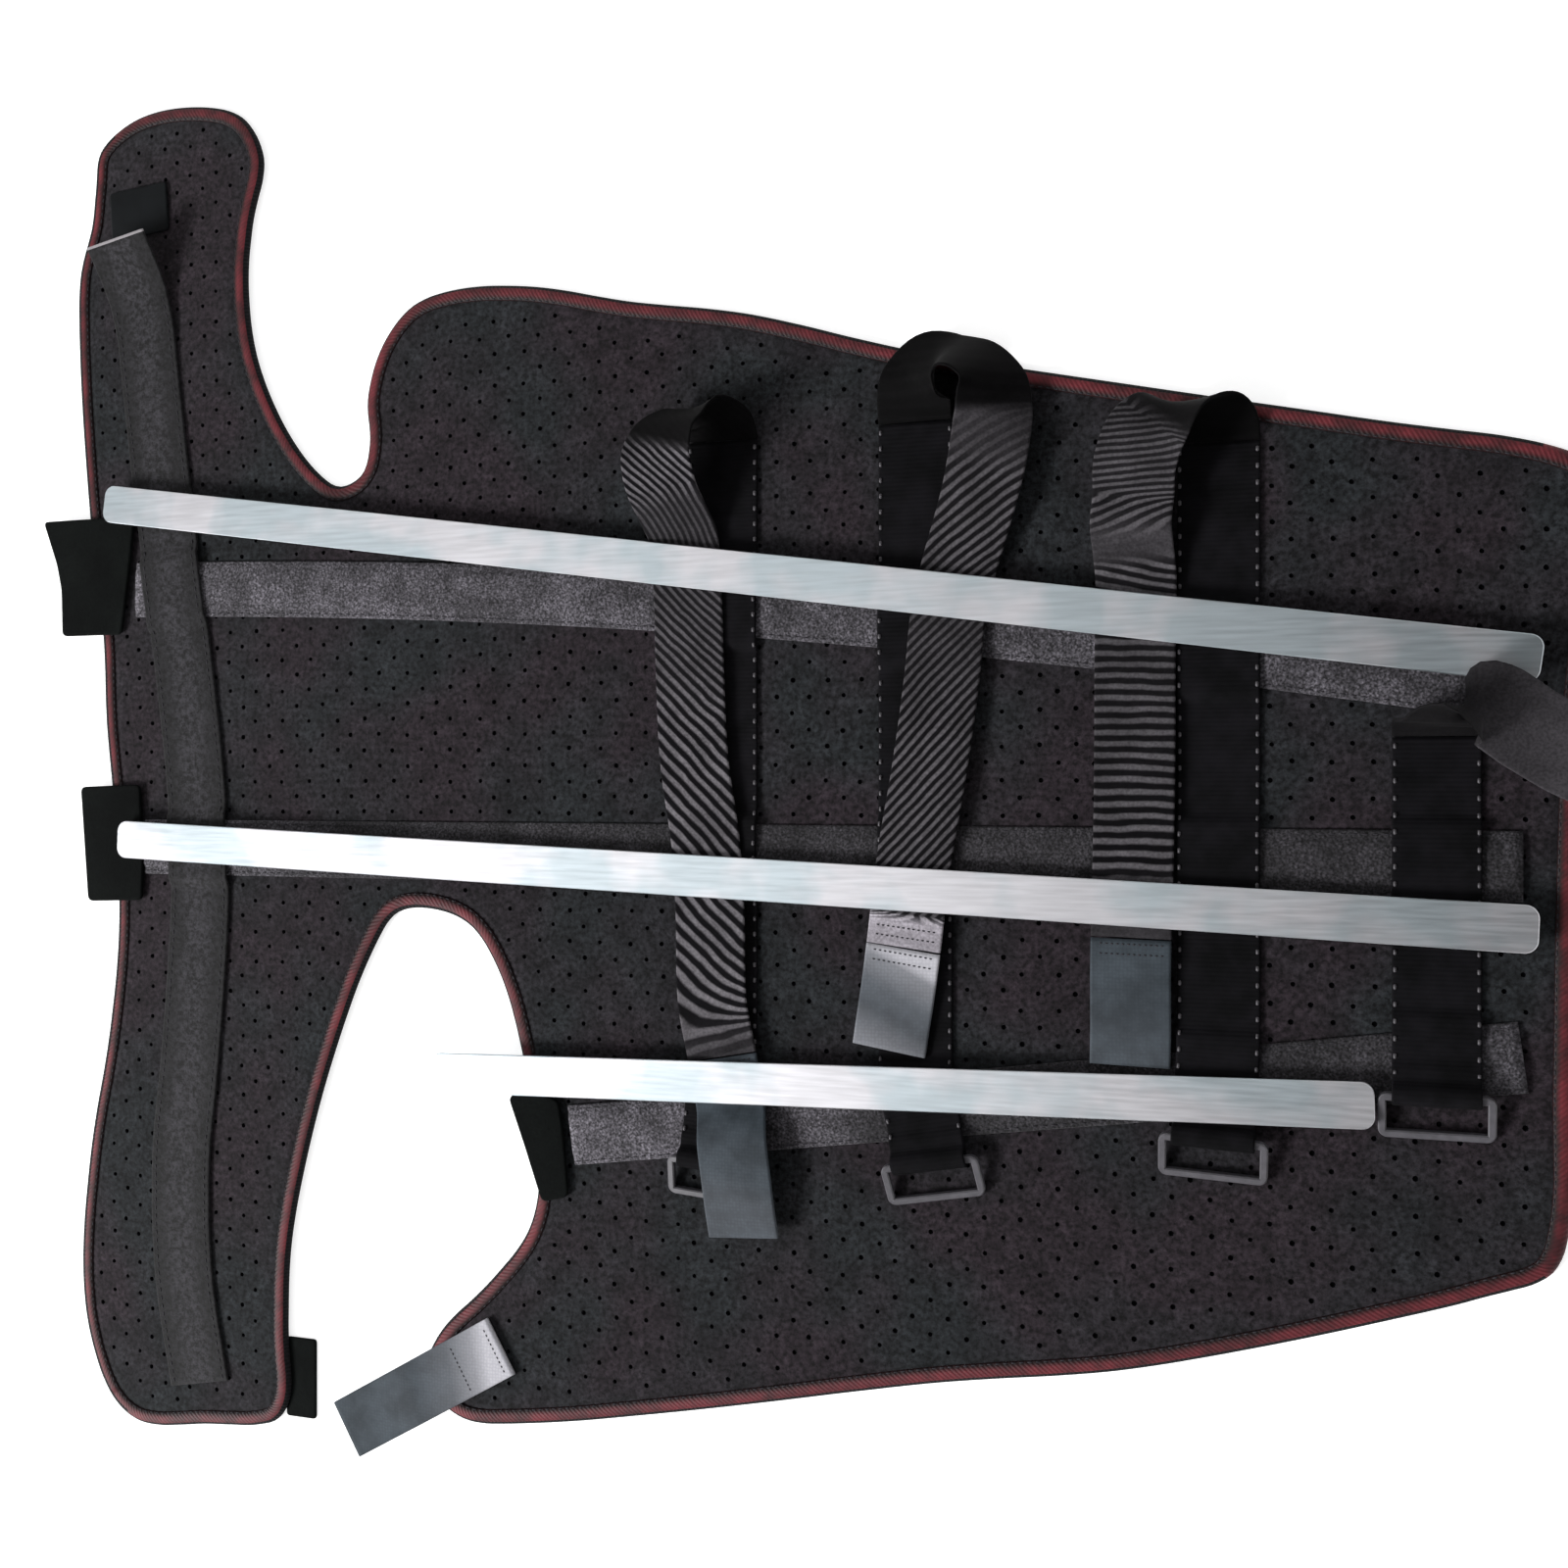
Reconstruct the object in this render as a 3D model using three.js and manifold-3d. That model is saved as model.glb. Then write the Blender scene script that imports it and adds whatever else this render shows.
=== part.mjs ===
// Thigh compression wrap, laid open and flat with its inner face up.
// Millimetres, +Z up. X runs from the hip band to the far edge of the thigh panel,
// Y runs across the straps, and the sheet's underside lies at Z 0.

import * as THREE from 'three';
import { mergeVertices } from 'three/addons/utils/BufferGeometryUtils.js';
import Module from 'manifold-3d';

const wasm = await Module();
wasm.setup();

// Neoprene sheet: the hip band on the left and the thigh panel on the right
const BAND_WIDTH = 104;
const BAND_HEIGHT = 645;
const THIGH_LENGTH = 587;
const THIGH_HEIGHT = 522;
const SHEET_THICKNESS = 4;
const EDGE_THICKNESS = 2;

// Folded tape round the sheet's edge
const BINDING_WIDTH = 7;
const BINDING_THICKNESS = 1;

// Clearance between pieces that touch or are sewn together
const GAP = 0.3;

// Aluminium stays
const STAY_WIDTH = 18;
const STAY_THICKNESS = 2;
const STAY_CORNER = 5;
const STAY_EDGE = 0.3;
const STAY_TO_RING = 1;
const UPPER_STAY_LENGTH = 658;
const MIDDLE_STAY_LENGTH = 643;
const LOWER_STAY_LENGTH = 409;

// Sleeves for the stays
const POCKET_TAPE = 1.1;
const POCKET_HOLLOW = 0.6;
const POCKET_SEAM = 3.3;
const POCKET_PLAY = 1;
const POCKET_STEP = 40;

// Flaps that close the sleeves
const FLAP_THICKNESS = 1.8;
const FLAP_HEIGHT = 58;

// Loop tape, hook pad and hook tab on the hip band
const STRIP_WIDTH = 34;
const STRIP_THICKNESS = 1.3;
const STRIP_LIFT = 9;
const PAD_WIDTH = 34;
const PAD_HEIGHT = 24;
const PAD_THICKNESS = 1.2;
const HOOK_TAB_WIDTH = 13;
const HOOK_TAB_HEIGHT = 38;
const HOOK_TAB_THICKNESS = 1.6;

// Webbing straps, their hook tape tails and the stretch over which webbing steps down
const WEBBING_WIDTH = 32;
const WEBBING_THICKNESS = 1.3;
const TAIL_THICKNESS = 1.6;
const LOOP_RISE = 24;
const STEP_RUN = 5;
const STEP_MARGIN = 1.2;

// Rectangular rings and the eyes that hold them
const RING_WIDTH = 42;
const RING_DEPTH = 18;
const RING_WIRE = 3;
const RING_CORNER = 3.5;
const RING_EDGE = 0.5;
const EYE_LAP = 9;
const EYE_PLAY = 0.6;
const EYE_SIDES = 6;
const VEER_RUN = 38;

// Hook tab on the thigh panel's lower left corner
const CORNER_TAB_LENGTH = 98;
const CORNER_TAB_WIDTH = 28;
const CORNER_TAB_THICKNESS = 1.6;

// The sheet's outline, clockwise from the hip band's tip.
// Along is a share of the band's width or the thigh panel's length, up is a share of
// the same part's height, measured from the line between the two upper stays.
const SAMPLES_PER_SPAN = 3;
const OUTLINE = [
  { part: 'band', along: 0.074, up: 0.46 },
  { part: 'band', along: 0.104, up: 0.488 },
  { part: 'band', along: 0.309, up: 0.509 },
  { part: 'band', along: 0.651, up: 0.512 },
  { part: 'band', along: 0.916, up: 0.498 },
  { part: 'band', along: 1.027, up: 0.465 },
  { part: 'band', along: 0.968, up: 0.421 },
  { part: 'band', along: 0.941, up: 0.377 },
  { part: 'band', along: 0.987, up: 0.32 },
  { part: 'band', along: 1.15, up: 0.263 },
  { part: 'thigh', along: 0.059, up: 0.281 },
  { part: 'thigh', along: 0.078, up: 0.269 },
  { part: 'thigh', along: 0.099, up: 0.279 },
  { part: 'thigh', along: 0.106, up: 0.307 },
  { part: 'thigh', along: 0.104, up: 0.345 },
  { part: 'thigh', along: 0.117, up: 0.391 },
  { part: 'thigh', along: 0.145, up: 0.425 },
  { part: 'thigh', along: 0.186, up: 0.436 },
  { part: 'thigh', along: 0.253, up: 0.431 },
  { part: 'thigh', along: 0.333, up: 0.41 },
  { part: 'thigh', along: 0.428, up: 0.39 },
  { part: 'thigh', along: 0.556, up: 0.347 },
  { part: 'thigh', along: 0.713, up: 0.306 },
  { part: 'thigh', along: 0.878, up: 0.265 },
  { part: 'thigh', along: 0.973, up: 0.241 },
  { part: 'thigh', along: 1.001, up: 0.222 },
  { part: 'thigh', along: 1.003, up: 0.182 },
  { part: 'thigh', along: 0.993, up: 0.069 },
  { part: 'thigh', along: 0.988, up: -0.08 },
  { part: 'thigh', along: 0.986, up: -0.23 },
  { part: 'thigh', along: 0.985, up: -0.306 },
  { part: 'thigh', along: 0.974, up: -0.348 },
  { part: 'thigh', along: 0.935, up: -0.369 },
  { part: 'thigh', along: 0.878, up: -0.392 },
  { part: 'thigh', along: 0.784, up: -0.426 },
  { part: 'thigh', along: 0.696, up: -0.453 },
  { part: 'thigh', along: 0.576, up: -0.477 },
  { part: 'thigh', along: 0.385, up: -0.525 },
  { part: 'thigh', along: 0.247, up: -0.555 },
  { part: 'thigh', along: 0.194, up: -0.559 },
  { part: 'thigh', along: 0.17, up: -0.544 },
  { part: 'thigh', along: 0.159, up: -0.513 },
  { part: 'thigh', along: 0.172, up: -0.482 },
  { part: 'thigh', along: 0.211, up: -0.439 },
  { part: 'thigh', along: 0.247, up: -0.389 },
  { part: 'thigh', along: 0.257, up: -0.345 },
  { part: 'thigh', along: 0.252, up: -0.291 },
  { part: 'thigh', along: 0.241, up: -0.226 },
  { part: 'thigh', along: 0.223, up: -0.165 },
  { part: 'thigh', along: 0.198, up: -0.125 },
  { part: 'thigh', along: 0.165, up: -0.111 },
  { part: 'thigh', along: 0.131, up: -0.115 },
  { part: 'thigh', along: 0.107, up: -0.152 },
  { part: 'band', along: 1.417, up: -0.194 },
  { part: 'band', along: 1.271, up: -0.269 },
  { part: 'band', along: 1.176, up: -0.342 },
  { part: 'band', along: 1.161, up: -0.408 },
  { part: 'band', along: 1.171, up: -0.453 },
  { part: 'band', along: 1.099, up: -0.472 },
  { part: 'band', along: 0.701, up: -0.483 },
  { part: 'band', along: 0.339, up: -0.488 },
  { part: 'band', along: 0.176, up: -0.472 },
  { part: 'band', along: 0.041, up: -0.426 },
  { part: 'band', along: -0.003, up: -0.371 },
  { part: 'band', along: 0.05, up: -0.277 },
  { part: 'band', along: 0.148, up: -0.197 },
  { part: 'band', along: 0.206, up: -0.12 },
  { part: 'band', along: 0.2, up: -0.047 },
  { part: 'band', along: 0.137, up: 0.047 },
  { part: 'band', along: 0.118, up: 0.112 },
  { part: 'band', along: 0.038, up: 0.209 },
  { part: 'band', along: -0.022, up: 0.334 },
  { part: 'band', along: -0.016, up: 0.395 },
  { part: 'band', along: 0.051, up: 0.431 },
];

// Sleeves. From is where the tape starts, left and right are its heights at its two
// ends, and bow is how far its middle stands above the straight line between them.
const POCKETS = [
  {
    name: 'upper', from: { part: 'band', along: 0.33 },
    left: 0.183, right: 0.069, bow: 0.022, flapReach: 56, flapShift: 0.014,
    flap: [[0, 0.5], [0.15, 0.12], [0.2, -0.1], [0.21, -0.5], [0.86, -0.5], [0.92, -0.1], [1, 0.5]],
  },
  {
    name: 'middle', from: { part: 'band', along: 0.38 },
    left: -0.059, right: -0.059, bow: 0, flapReach: 38, flapShift: 0.003,
    flap: [[0, 0.48], [0.12, -0.5], [0.98, -0.48], [1, -0.15], [0.95, 0.5]],
  },
  {
    name: 'lower', from: { part: 'thigh', along: 0.287 },
    left: -0.301, right: -0.195, bow: 0, flapReach: 31, flapShift: -0.01,
    flap: [[0, 0.36], [0.27, -0.02], [0.55, -0.44], [0.98, -0.38], [0.9, 0.09], [0.82, 0.36], [0.3, 0.42]],
  },
];
const POCKET_END = 0.974;

// Stays. Along and up place the middle of each one, turn is its slope in degrees.
// The lower one is placed by its right end, which lies beside a ring instead.
const STAYS = [
  { name: 'upper', length: UPPER_STAY_LENGTH, along: 0.412, up: 0.176, turn: -8.07 },
  { name: 'middle', length: MIDDLE_STAY_LENGTH, along: 0.418, up: -0.0773, turn: -2.38 },
  { name: 'lower', length: LOWER_STAY_LENGTH, besideRing: 4, up: -0.243, turn: 1.38 },
];

// The loop tape down the hip band, from its lifted top end to its lower end
const STRIP = [
  { along: 0.315, up: 0.411, lift: 1 },
  { along: 0.345, up: 0.384, lift: 0.45 },
  { along: 0.385, up: 0.345, lift: 0.08 },
  { along: 0.4, up: 0.32, lift: 0 },
  { along: 0.464, up: 0.239, lift: 0 },
  { along: 0.535, up: 0.16, lift: 0 },
  { along: 0.612, up: 0.074, lift: 0 },
  { along: 0.668, up: 0, lift: 0 },
  { along: 0.693, up: -0.075, lift: 0 },
  { along: 0.672, up: -0.14, lift: 0 },
  { along: 0.632, up: -0.212, lift: 0 },
  { along: 0.585, up: -0.282, lift: 0 },
  { along: 0.6, up: -0.37, lift: 0 },
  { along: 0.69, up: -0.451, lift: 0 },
];
const PAD_PLACE = { along: 0.345, up: 0.437, turn: 4 };
const HOOK_TAB_PLACE = { along: 1.168, up: -0.439 };

// Straps. Along and up place the top of each sewn base, ringUp its ring, and veer
// moves the ring sideways by a share of the webbing's width.
// Loop rows run from the base's top end. Side is in webbing widths from the base,
// rise is a share of the loop's rise, turn and lean are the angles of the width.
// Lie rows follow with the strap at rest, then tail rows with the hook tape.
const STRAPS = [
  {
    along: 0.411, top: 0.284, ringUp: -0.314, veer: -0.09, restsOn: 'base',
    loop: [
      { side: 0, up: 0.293, rise: 0.08, turn: 0, lean: 0 },
      { side: -0.04, up: 0.302, rise: 0.24, turn: 0, lean: 0 },
      { side: -0.26, up: 0.307, rise: 0.56, turn: 4, lean: 2 },
      { side: -0.52, up: 0.294, rise: 0.88, turn: 12, lean: 6 },
      { side: -0.66, up: 0.27, rise: 1, turn: 14, lean: 4 },
      { side: -0.67, up: 0.245, rise: 0.78, turn: 12, lean: 2 },
      { side: -0.6, up: 0.222, rise: 0.38, turn: 8, lean: 0 },
    ],
    lie: [
      { side: -0.53, up: 0.204 }, { side: -0.47, up: 0.155 }, { side: -0.44, up: 0.093 },
      { side: -0.37, up: 0.016 }, { side: -0.21, up: -0.049 }, { side: -0.15, up: -0.101 },
      { side: -0.12, up: -0.176 }, { side: 0.03, up: -0.225 },
    ],
    tail: [
      { side: 0.1, up: -0.247, rise: 0 }, { side: 0.16, up: -0.266, rise: 0 },
      { side: 0.23, up: -0.291, rise: 0.22 }, { side: 0.3, up: -0.322, rise: 0.24 },
      { side: 0.33, up: -0.346, rise: 0.17 }, { side: 0.36, up: -0.372, rise: 0.05 },
    ],
  },
  {
    along: 0.558, top: 0.288, ringUp: -0.3, veer: 0.22, restsOn: 'base',
    loop: [
      { side: 0, up: 0.299, rise: 0.06, turn: 0, lean: 0 },
      { side: 0.03, up: 0.311, rise: 0.2, turn: 0, lean: 6 },
      { side: 0.2, up: 0.327, rise: 0.44, turn: -30, lean: 30 },
      { side: 0.6, up: 0.336, rise: 0.66, turn: -85, lean: 58 },
      { side: 1, up: 0.325, rise: 0.66, turn: -135, lean: 52 },
      { side: 1.13, up: 0.302, rise: 0.56, turn: -172, lean: 32 },
      { side: 1.06, up: 0.264, rise: 0.44, turn: -196, lean: 12 },
      { side: 0.88, up: 0.222, rise: 0.28, turn: -204, lean: 2 },
    ],
    lie: [
      { side: 0.68, up: 0.186 }, { side: 0.48, up: 0.138 }, { side: 0.38, up: 0.083 },
      { side: 0.2, up: 0.006 }, { side: 0.01, up: -0.06 }, { side: -0.13, up: -0.13 },
    ],
    tail: [
      { side: -0.21, up: -0.165, rise: -0.02 }, { side: -0.28, up: -0.19, rise: -0.05 },
      { side: -0.34, up: -0.213, rise: -0.07 },
    ],
  },
  {
    along: 0.768, top: 0.257, ringUp: -0.267, veer: -0.05, restsOn: 'base',
    loop: [
      { side: 0, up: 0.265, rise: 0.05, turn: 0, lean: 0 },
      { side: -0.03, up: 0.274, rise: 0.2, turn: 0, lean: 0 },
      { side: -0.2, up: 0.282, rise: 0.52, turn: 0, lean: 6 },
      { side: -0.48, up: 0.279, rise: 0.85, turn: 0, lean: 8 },
      { side: -0.77, up: 0.261, rise: 0.95, turn: 0, lean: 6 },
      { side: -0.93, up: 0.24, rise: 0.78, turn: 0, lean: 2 },
      { side: -0.99, up: 0.218, rise: 0.45, turn: 0, lean: 0 },
      { side: -1.02, up: 0.197, rise: 0.46, turn: 0, lean: 0 },
      { side: -1.01, up: 0.176, rise: 0.25, turn: 0, lean: 0 },
    ],
    lie: [
      { side: -0.99, up: 0.155 }, { side: -1, up: 0.105 }, { side: -1.01, up: 0 },
      { side: -1.03, up: -0.07 }, { side: -1.05, up: -0.117 },
    ],
    tail: [
      { side: -1.06, up: -0.15, rise: -0.02 }, { side: -1.06, up: -0.183, rise: -0.04 },
      { side: -1.07, up: -0.215, rise: -0.06 },
    ],
  },
  {
    along: 0.905, top: 0.034, ringUp: -0.226, veer: 0, restsOn: 'floor',
    loop: [
      { side: 0, up: 0.042, rise: 0.05, turn: 0, lean: 0 },
      { side: 0, up: 0.054, rise: 0.34, turn: 0, lean: 0 },
      { side: 0.14, up: 0.07, rise: 0.82, turn: 16, lean: -6 },
      { side: 0.5, up: 0.078, rise: 0.93, turn: 38, lean: -12 },
      { side: 0.92, up: 0.062, rise: 0.8, turn: 55, lean: -5 },
      { side: 1.4, up: 0.04, rise: 0.62, turn: 61, lean: 0 },
      { side: 2, up: 0.018, rise: 0.38, turn: 61, lean: 0 },
      { side: 2.6, up: -0.004, rise: 0.08, turn: 61, lean: 0 },
    ],
    lie: [{ side: 3.05, up: -0.021 }, { side: 3.4, up: -0.034 }],
    tail: [
      { side: 4.1, up: -0.06, rise: 0 }, { side: 4.85, up: -0.088, rise: 0 },
    ],
  },
];

// The corner tab, from its end on the sheet to its free end. Droop is the share of
// its height above the surface that it has lost at each row.
const CORNER_TAB_PLACE = { along: 0.155, up: -0.536, turn: 210.5 };
const CORNER_TAB_ROWS = [
  { run: -0.5, droop: 0 }, { run: -0.25, droop: 0 }, { run: 0, droop: 0 },
  { run: 0.25, droop: 0.6 }, { run: 0.5, droop: 1 },
];

// Heights worked out from the sizes above
const edgeBottom = BINDING_THICKNESS + GAP;
const slotHeight = EDGE_THICKNESS + 2 * GAP;
const bindingTop = slotHeight + 2 * BINDING_THICKNESS;
const pocketTop = SHEET_THICKNESS + GAP + POCKET_HOLLOW + POCKET_TAPE;
const pocketWidth = STAY_WIDTH + 2 * (POCKET_PLAY + POCKET_SEAM);
const sheetLie = SHEET_THICKNESS + GAP;
const pocketLie = pocketTop + GAP;
const baseLie = pocketLie + WEBBING_THICKNESS + GAP;
const stayLie = baseLie + Math.max(WEBBING_THICKNESS, TAIL_THICKNESS) + GAP;
const eyeRadius = RING_WIRE / 2 + EYE_PLAY + WEBBING_THICKNESS / 2;

// Material colours, roughness and metalness
const NEOPRENE = { color: 0x2a292e, roughness: 0.85, metalness: 0 };
const BINDING = { color: 0x7a3a42, roughness: 0.7, metalness: 0 };
const KNIT_TAPE = { color: 0x444245, roughness: 0.9, metalness: 0 };
const WEBBING = { color: 0x4a484b, roughness: 0.6, metalness: 0 };
const HOOK_TAPE = { color: 0x3c444a, roughness: 0.5, metalness: 0 };
const FLAP_CLOTH = { color: 0x101413, roughness: 0.9, metalness: 0 };
const ALUMINIUM = { color: 0xd8d8da, roughness: 0.35, metalness: 1 };
const RING_PLASTIC = { color: 0x4a484c, roughness: 0.45, metalness: 0 };

const wrap = new THREE.Group();

function addPiece(name, geometry, finish) {
  const mesh = new THREE.Mesh(geometry, new THREE.MeshStandardMaterial(finish));
  mesh.name = name;
  wrap.add(mesh);
  return mesh;
}

// Where a share along and a share up of one part of the sheet fall in millimetres
function place(part, along, up) {
  if (part === 'band') {
    return new THREE.Vector2(along * BAND_WIDTH, up * BAND_HEIGHT);
  }
  return new THREE.Vector2(BAND_WIDTH + along * THIGH_LENGTH, up * THIGH_HEIGHT);
}

function toSolid(geometry) {
  const bare = geometry.clone();
  bare.deleteAttribute('normal');
  bare.deleteAttribute('uv');
  const merged = mergeVertices(bare);
  return new wasm.Manifold(new wasm.Mesh({
    numProp: 3,
    vertProperties: new Float32Array(merged.attributes.position.array),
    triVerts: new Uint32Array(merged.index.array),
  }));
}

function toGeometry(solid) {
  const { vertProperties, triVerts } = solid.getMesh();
  const geometry = new THREE.BufferGeometry();
  geometry.setAttribute('position', new THREE.BufferAttribute(vertProperties, 3));
  geometry.setIndex(new THREE.BufferAttribute(triVerts, 1));
  geometry.computeVertexNormals();
  return geometry;
}

// The sheet's edge as a closed run of points, moved inwards by a given distance
const edgeCurve = new THREE.CatmullRomCurve3(
  OUTLINE.map((row) => {
    const point = place(row.part, row.along, row.up);
    return new THREE.Vector3(point.x, point.y, 0);
  }),
  true,
  'centripetal',
);

function insetOutline(distance) {
  const count = OUTLINE.length * SAMPLES_PER_SPAN;
  const points = [];
  for (let i = 0; i < count; i++) {
    const at = edgeCurve.getPoint(i / count);
    const heading = edgeCurve.getTangent(i / count);
    points.push(new THREE.Vector2(at.x + heading.y * distance, at.y - heading.x * distance));
  }
  return points;
}

function plate(outline, bottom, height, hole) {
  const shape = new THREE.Shape(outline);
  if (hole) {
    shape.holes.push(new THREE.Path(hole.toReversed()));
  }
  const geometry = new THREE.ExtrudeGeometry(shape, { depth: height, bevelEnabled: false });
  return geometry.translate(0, 0, bottom);
}

// The neoprene sheet: full thickness inside, squeezed thin where the binding grips it
function makePanel() {
  const body = plate(insetOutline(BINDING_WIDTH + GAP), 0, SHEET_THICKNESS);
  const edge = plate(insetOutline(BINDING_THICKNESS + GAP), edgeBottom, EDGE_THICKNESS);
  addPiece('wrap_panel', toGeometry(toSolid(body).add(toSolid(edge))), NEOPRENE);
}

// The binding: a flat ring of tape with a slot round its inside for the sheet's edge
function makeBinding() {
  const band = plate(insetOutline(0), 0, bindingTop, insetOutline(BINDING_WIDTH));
  const slot = plate(insetOutline(BINDING_THICKNESS), BINDING_THICKNESS, slotHeight);
  addPiece('edge_binding', toGeometry(toSolid(band).subtract(toSolid(slot))), BINDING);
}

// Carries a flat section along a run of frames. Each frame has an origin, the
// direction across the section and the direction up through it.
function sweep(section, frames) {
  const count = section.length;
  const positions = [];
  for (const frame of frames) {
    for (const corner of section) {
      const at = frame.origin.clone()
        .addScaledVector(frame.across, corner.x)
        .addScaledVector(frame.up, corner.y);
      positions.push(at.x, at.y, at.z);
    }
  }
  const index = [];
  for (let i = 0; i < frames.length - 1; i++) {
    for (let j = 0; j < count; j++) {
      const a = i * count + j;
      const b = i * count + (j + 1) % count;
      index.push(a, b + count, b, a, a + count, b + count);
    }
  }
  const last = (frames.length - 1) * count;
  for (const [a, b, c] of THREE.ShapeUtils.triangulateShape(section, [])) {
    index.push(a, b, c);
    index.push(last + a, last + c, last + b);
  }
  const geometry = new THREE.BufferGeometry();
  geometry.setAttribute('position', new THREE.Float32BufferAttribute(positions, 3));
  geometry.setIndex(index);
  geometry.computeVertexNormals();
  return geometry;
}

function flatSection(width, thickness) {
  const half = width / 2;
  const deep = thickness / 2;
  return [
    new THREE.Vector2(-half, -deep),
    new THREE.Vector2(half, -deep),
    new THREE.Vector2(half, deep),
    new THREE.Vector2(-half, deep),
  ];
}

// Frames along a run of middle points, with the section's width kept near the
// direction that each point asks for
function framesAlong(points, widths) {
  return points.map((origin, i) => {
    const before = points[Math.max(i - 1, 0)];
    const after = points[Math.min(i + 1, points.length - 1)];
    const heading = after.clone().sub(before).normalize();
    const across = widths[i].clone().addScaledVector(heading, -widths[i].dot(heading)).normalize();
    return { origin, across, up: across.clone().cross(heading).normalize() };
  });
}

// Widths that lie level and square to the run
function levelWidths(points) {
  return points.map((_, i) => {
    const before = points[Math.max(i - 1, 0)];
    const after = points[Math.min(i + 1, points.length - 1)];
    return new THREE.Vector3(after.y - before.y, before.x - after.x, 0).normalize();
  });
}

// Webbing laid over raised things: its underside's height at each place where the
// slope changes. An obstacle has a start, an end and a top, all along the same run.
function layOver(from, to, ground, obstacles) {
  const places = [from, to];
  for (const { start, end } of obstacles) {
    places.push(start - STEP_RUN, start, end, end + STEP_RUN);
  }
  const heightAt = (s) => obstacles.reduce((high, { start, end, top }) => {
    const away = Math.max(start - s, s - end, 0);
    const share = Math.max(1 - away / STEP_RUN, 0);
    return Math.max(high, ground + (top - ground) * share);
  }, ground);
  return places
    .filter((s) => s >= from && s <= to)
    .sort((a, b) => a - b)
    .filter((s, i, all) => i === 0 || s - all[i - 1] > GAP)
    .map((s) => ({ s, height: heightAt(s) }));
}

// Where a sleeve's middle line runs, and how steeply, at a distance along X
function pocketLine(pocket) {
  const start = place(pocket.from.part, pocket.from.along, 0).x;
  const end = place('thigh', POCKET_END, 0).x - BINDING_WIDTH - POCKET_SEAM;
  const heightAt = (x) => {
    const t = (x - start) / (end - start);
    const straight = pocket.left + (pocket.right - pocket.left) * t;
    return (straight + pocket.bow * 4 * t * (1 - t)) * THIGH_HEIGHT;
  };
  return { start, end, heightAt };
}

// The stretch of a run along Y that a sleeve takes up under webbing at a given X
function pocketObstacle(pocket, x, width) {
  const { start, end, heightAt } = pocketLine(pocket);
  if (x + width / 2 < start || x - width / 2 > end) {
    return null;
  }
  const low = Math.min(heightAt(x - width / 2), heightAt(x + width / 2));
  const high = Math.max(heightAt(x - width / 2), heightAt(x + width / 2));
  const reach = pocketWidth / 2 + STEP_MARGIN;
  return { start: low - reach, end: high + reach, top: pocketTop };
}

function pocketObstacles(x, width) {
  return POCKETS.map((pocket) => pocketObstacle(pocket, x, width)).filter((found) => found);
}

// A sleeve: tape that touches the sheet along both seams and stands off it between them
function pocketSection() {
  const half = pocketWidth / 2;
  const inner = half - POCKET_SEAM;
  const top = POCKET_HOLLOW + POCKET_TAPE;
  return [
    new THREE.Vector2(-half, 0),
    new THREE.Vector2(-inner, 0),
    new THREE.Vector2(-inner, POCKET_HOLLOW),
    new THREE.Vector2(inner, POCKET_HOLLOW),
    new THREE.Vector2(inner, 0),
    new THREE.Vector2(half, 0),
    new THREE.Vector2(half, POCKET_TAPE),
    new THREE.Vector2(inner, top),
    new THREE.Vector2(-inner, top),
    new THREE.Vector2(-half, POCKET_TAPE),
  ];
}

function makePockets() {
  for (const pocket of POCKETS) {
    const { start, end, heightAt } = pocketLine(pocket);
    const steps = pocket.bow ? Math.ceil((end - start) / POCKET_STEP) : 1;
    const points = [];
    for (let i = 0; i <= steps; i++) {
      const x = start + (end - start) * i / steps;
      points.push(new THREE.Vector3(x, heightAt(x), sheetLie));
    }
    const frames = framesAlong(points, levelWidths(points));
    addPiece(`stay_pocket_${pocket.name}`, sweep(pocketSection(), frames), KNIT_TAPE);
  }
}

// A black flap at a sleeve's left end, lying over the binding and past the sheet's edge
function makeFlaps() {
  for (const pocket of POCKETS) {
    const { start, heightAt } = pocketLine(pocket);
    const outer = start - GAP - pocket.flapReach;
    const middle = heightAt(start) + pocket.flapShift * THIGH_HEIGHT;
    const outline = pocket.flap.map(([along, up]) => new THREE.Vector2(
      outer + along * pocket.flapReach,
      middle + up * FLAP_HEIGHT,
    ));
    const geometry = plate(outline, bindingTop + GAP, FLAP_THICKNESS);
    addPiece(`pocket_flap_${pocket.name}`, geometry, FLAP_CLOTH);
  }
}

// A flat bar with rounded corners, lying level with its middle at the origin
function roundedPlate(length, width, corner, height, bevel) {
  const x = length / 2 - bevel;
  const y = width / 2 - bevel;
  const r = corner - bevel;
  const shape = new THREE.Shape();
  shape.moveTo(x - r, -y);
  shape.absarc(x - r, r - y, r, -Math.PI / 2, 0);
  shape.absarc(x - r, y - r, r, 0, Math.PI / 2);
  shape.absarc(r - x, y - r, r, Math.PI / 2, Math.PI);
  shape.absarc(r - x, r - y, r, Math.PI, Math.PI * 1.5);
  return { shape, depth: height - 2 * bevel, bevel };
}

function extrudeRounded({ shape, depth, bevel }) {
  const geometry = new THREE.ExtrudeGeometry(shape, {
    depth,
    bevelThickness: bevel,
    bevelSize: bevel,
    bevelSegments: 1,
    curveSegments: 4,
  });
  return geometry.translate(0, 0, bevel);
}

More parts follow.
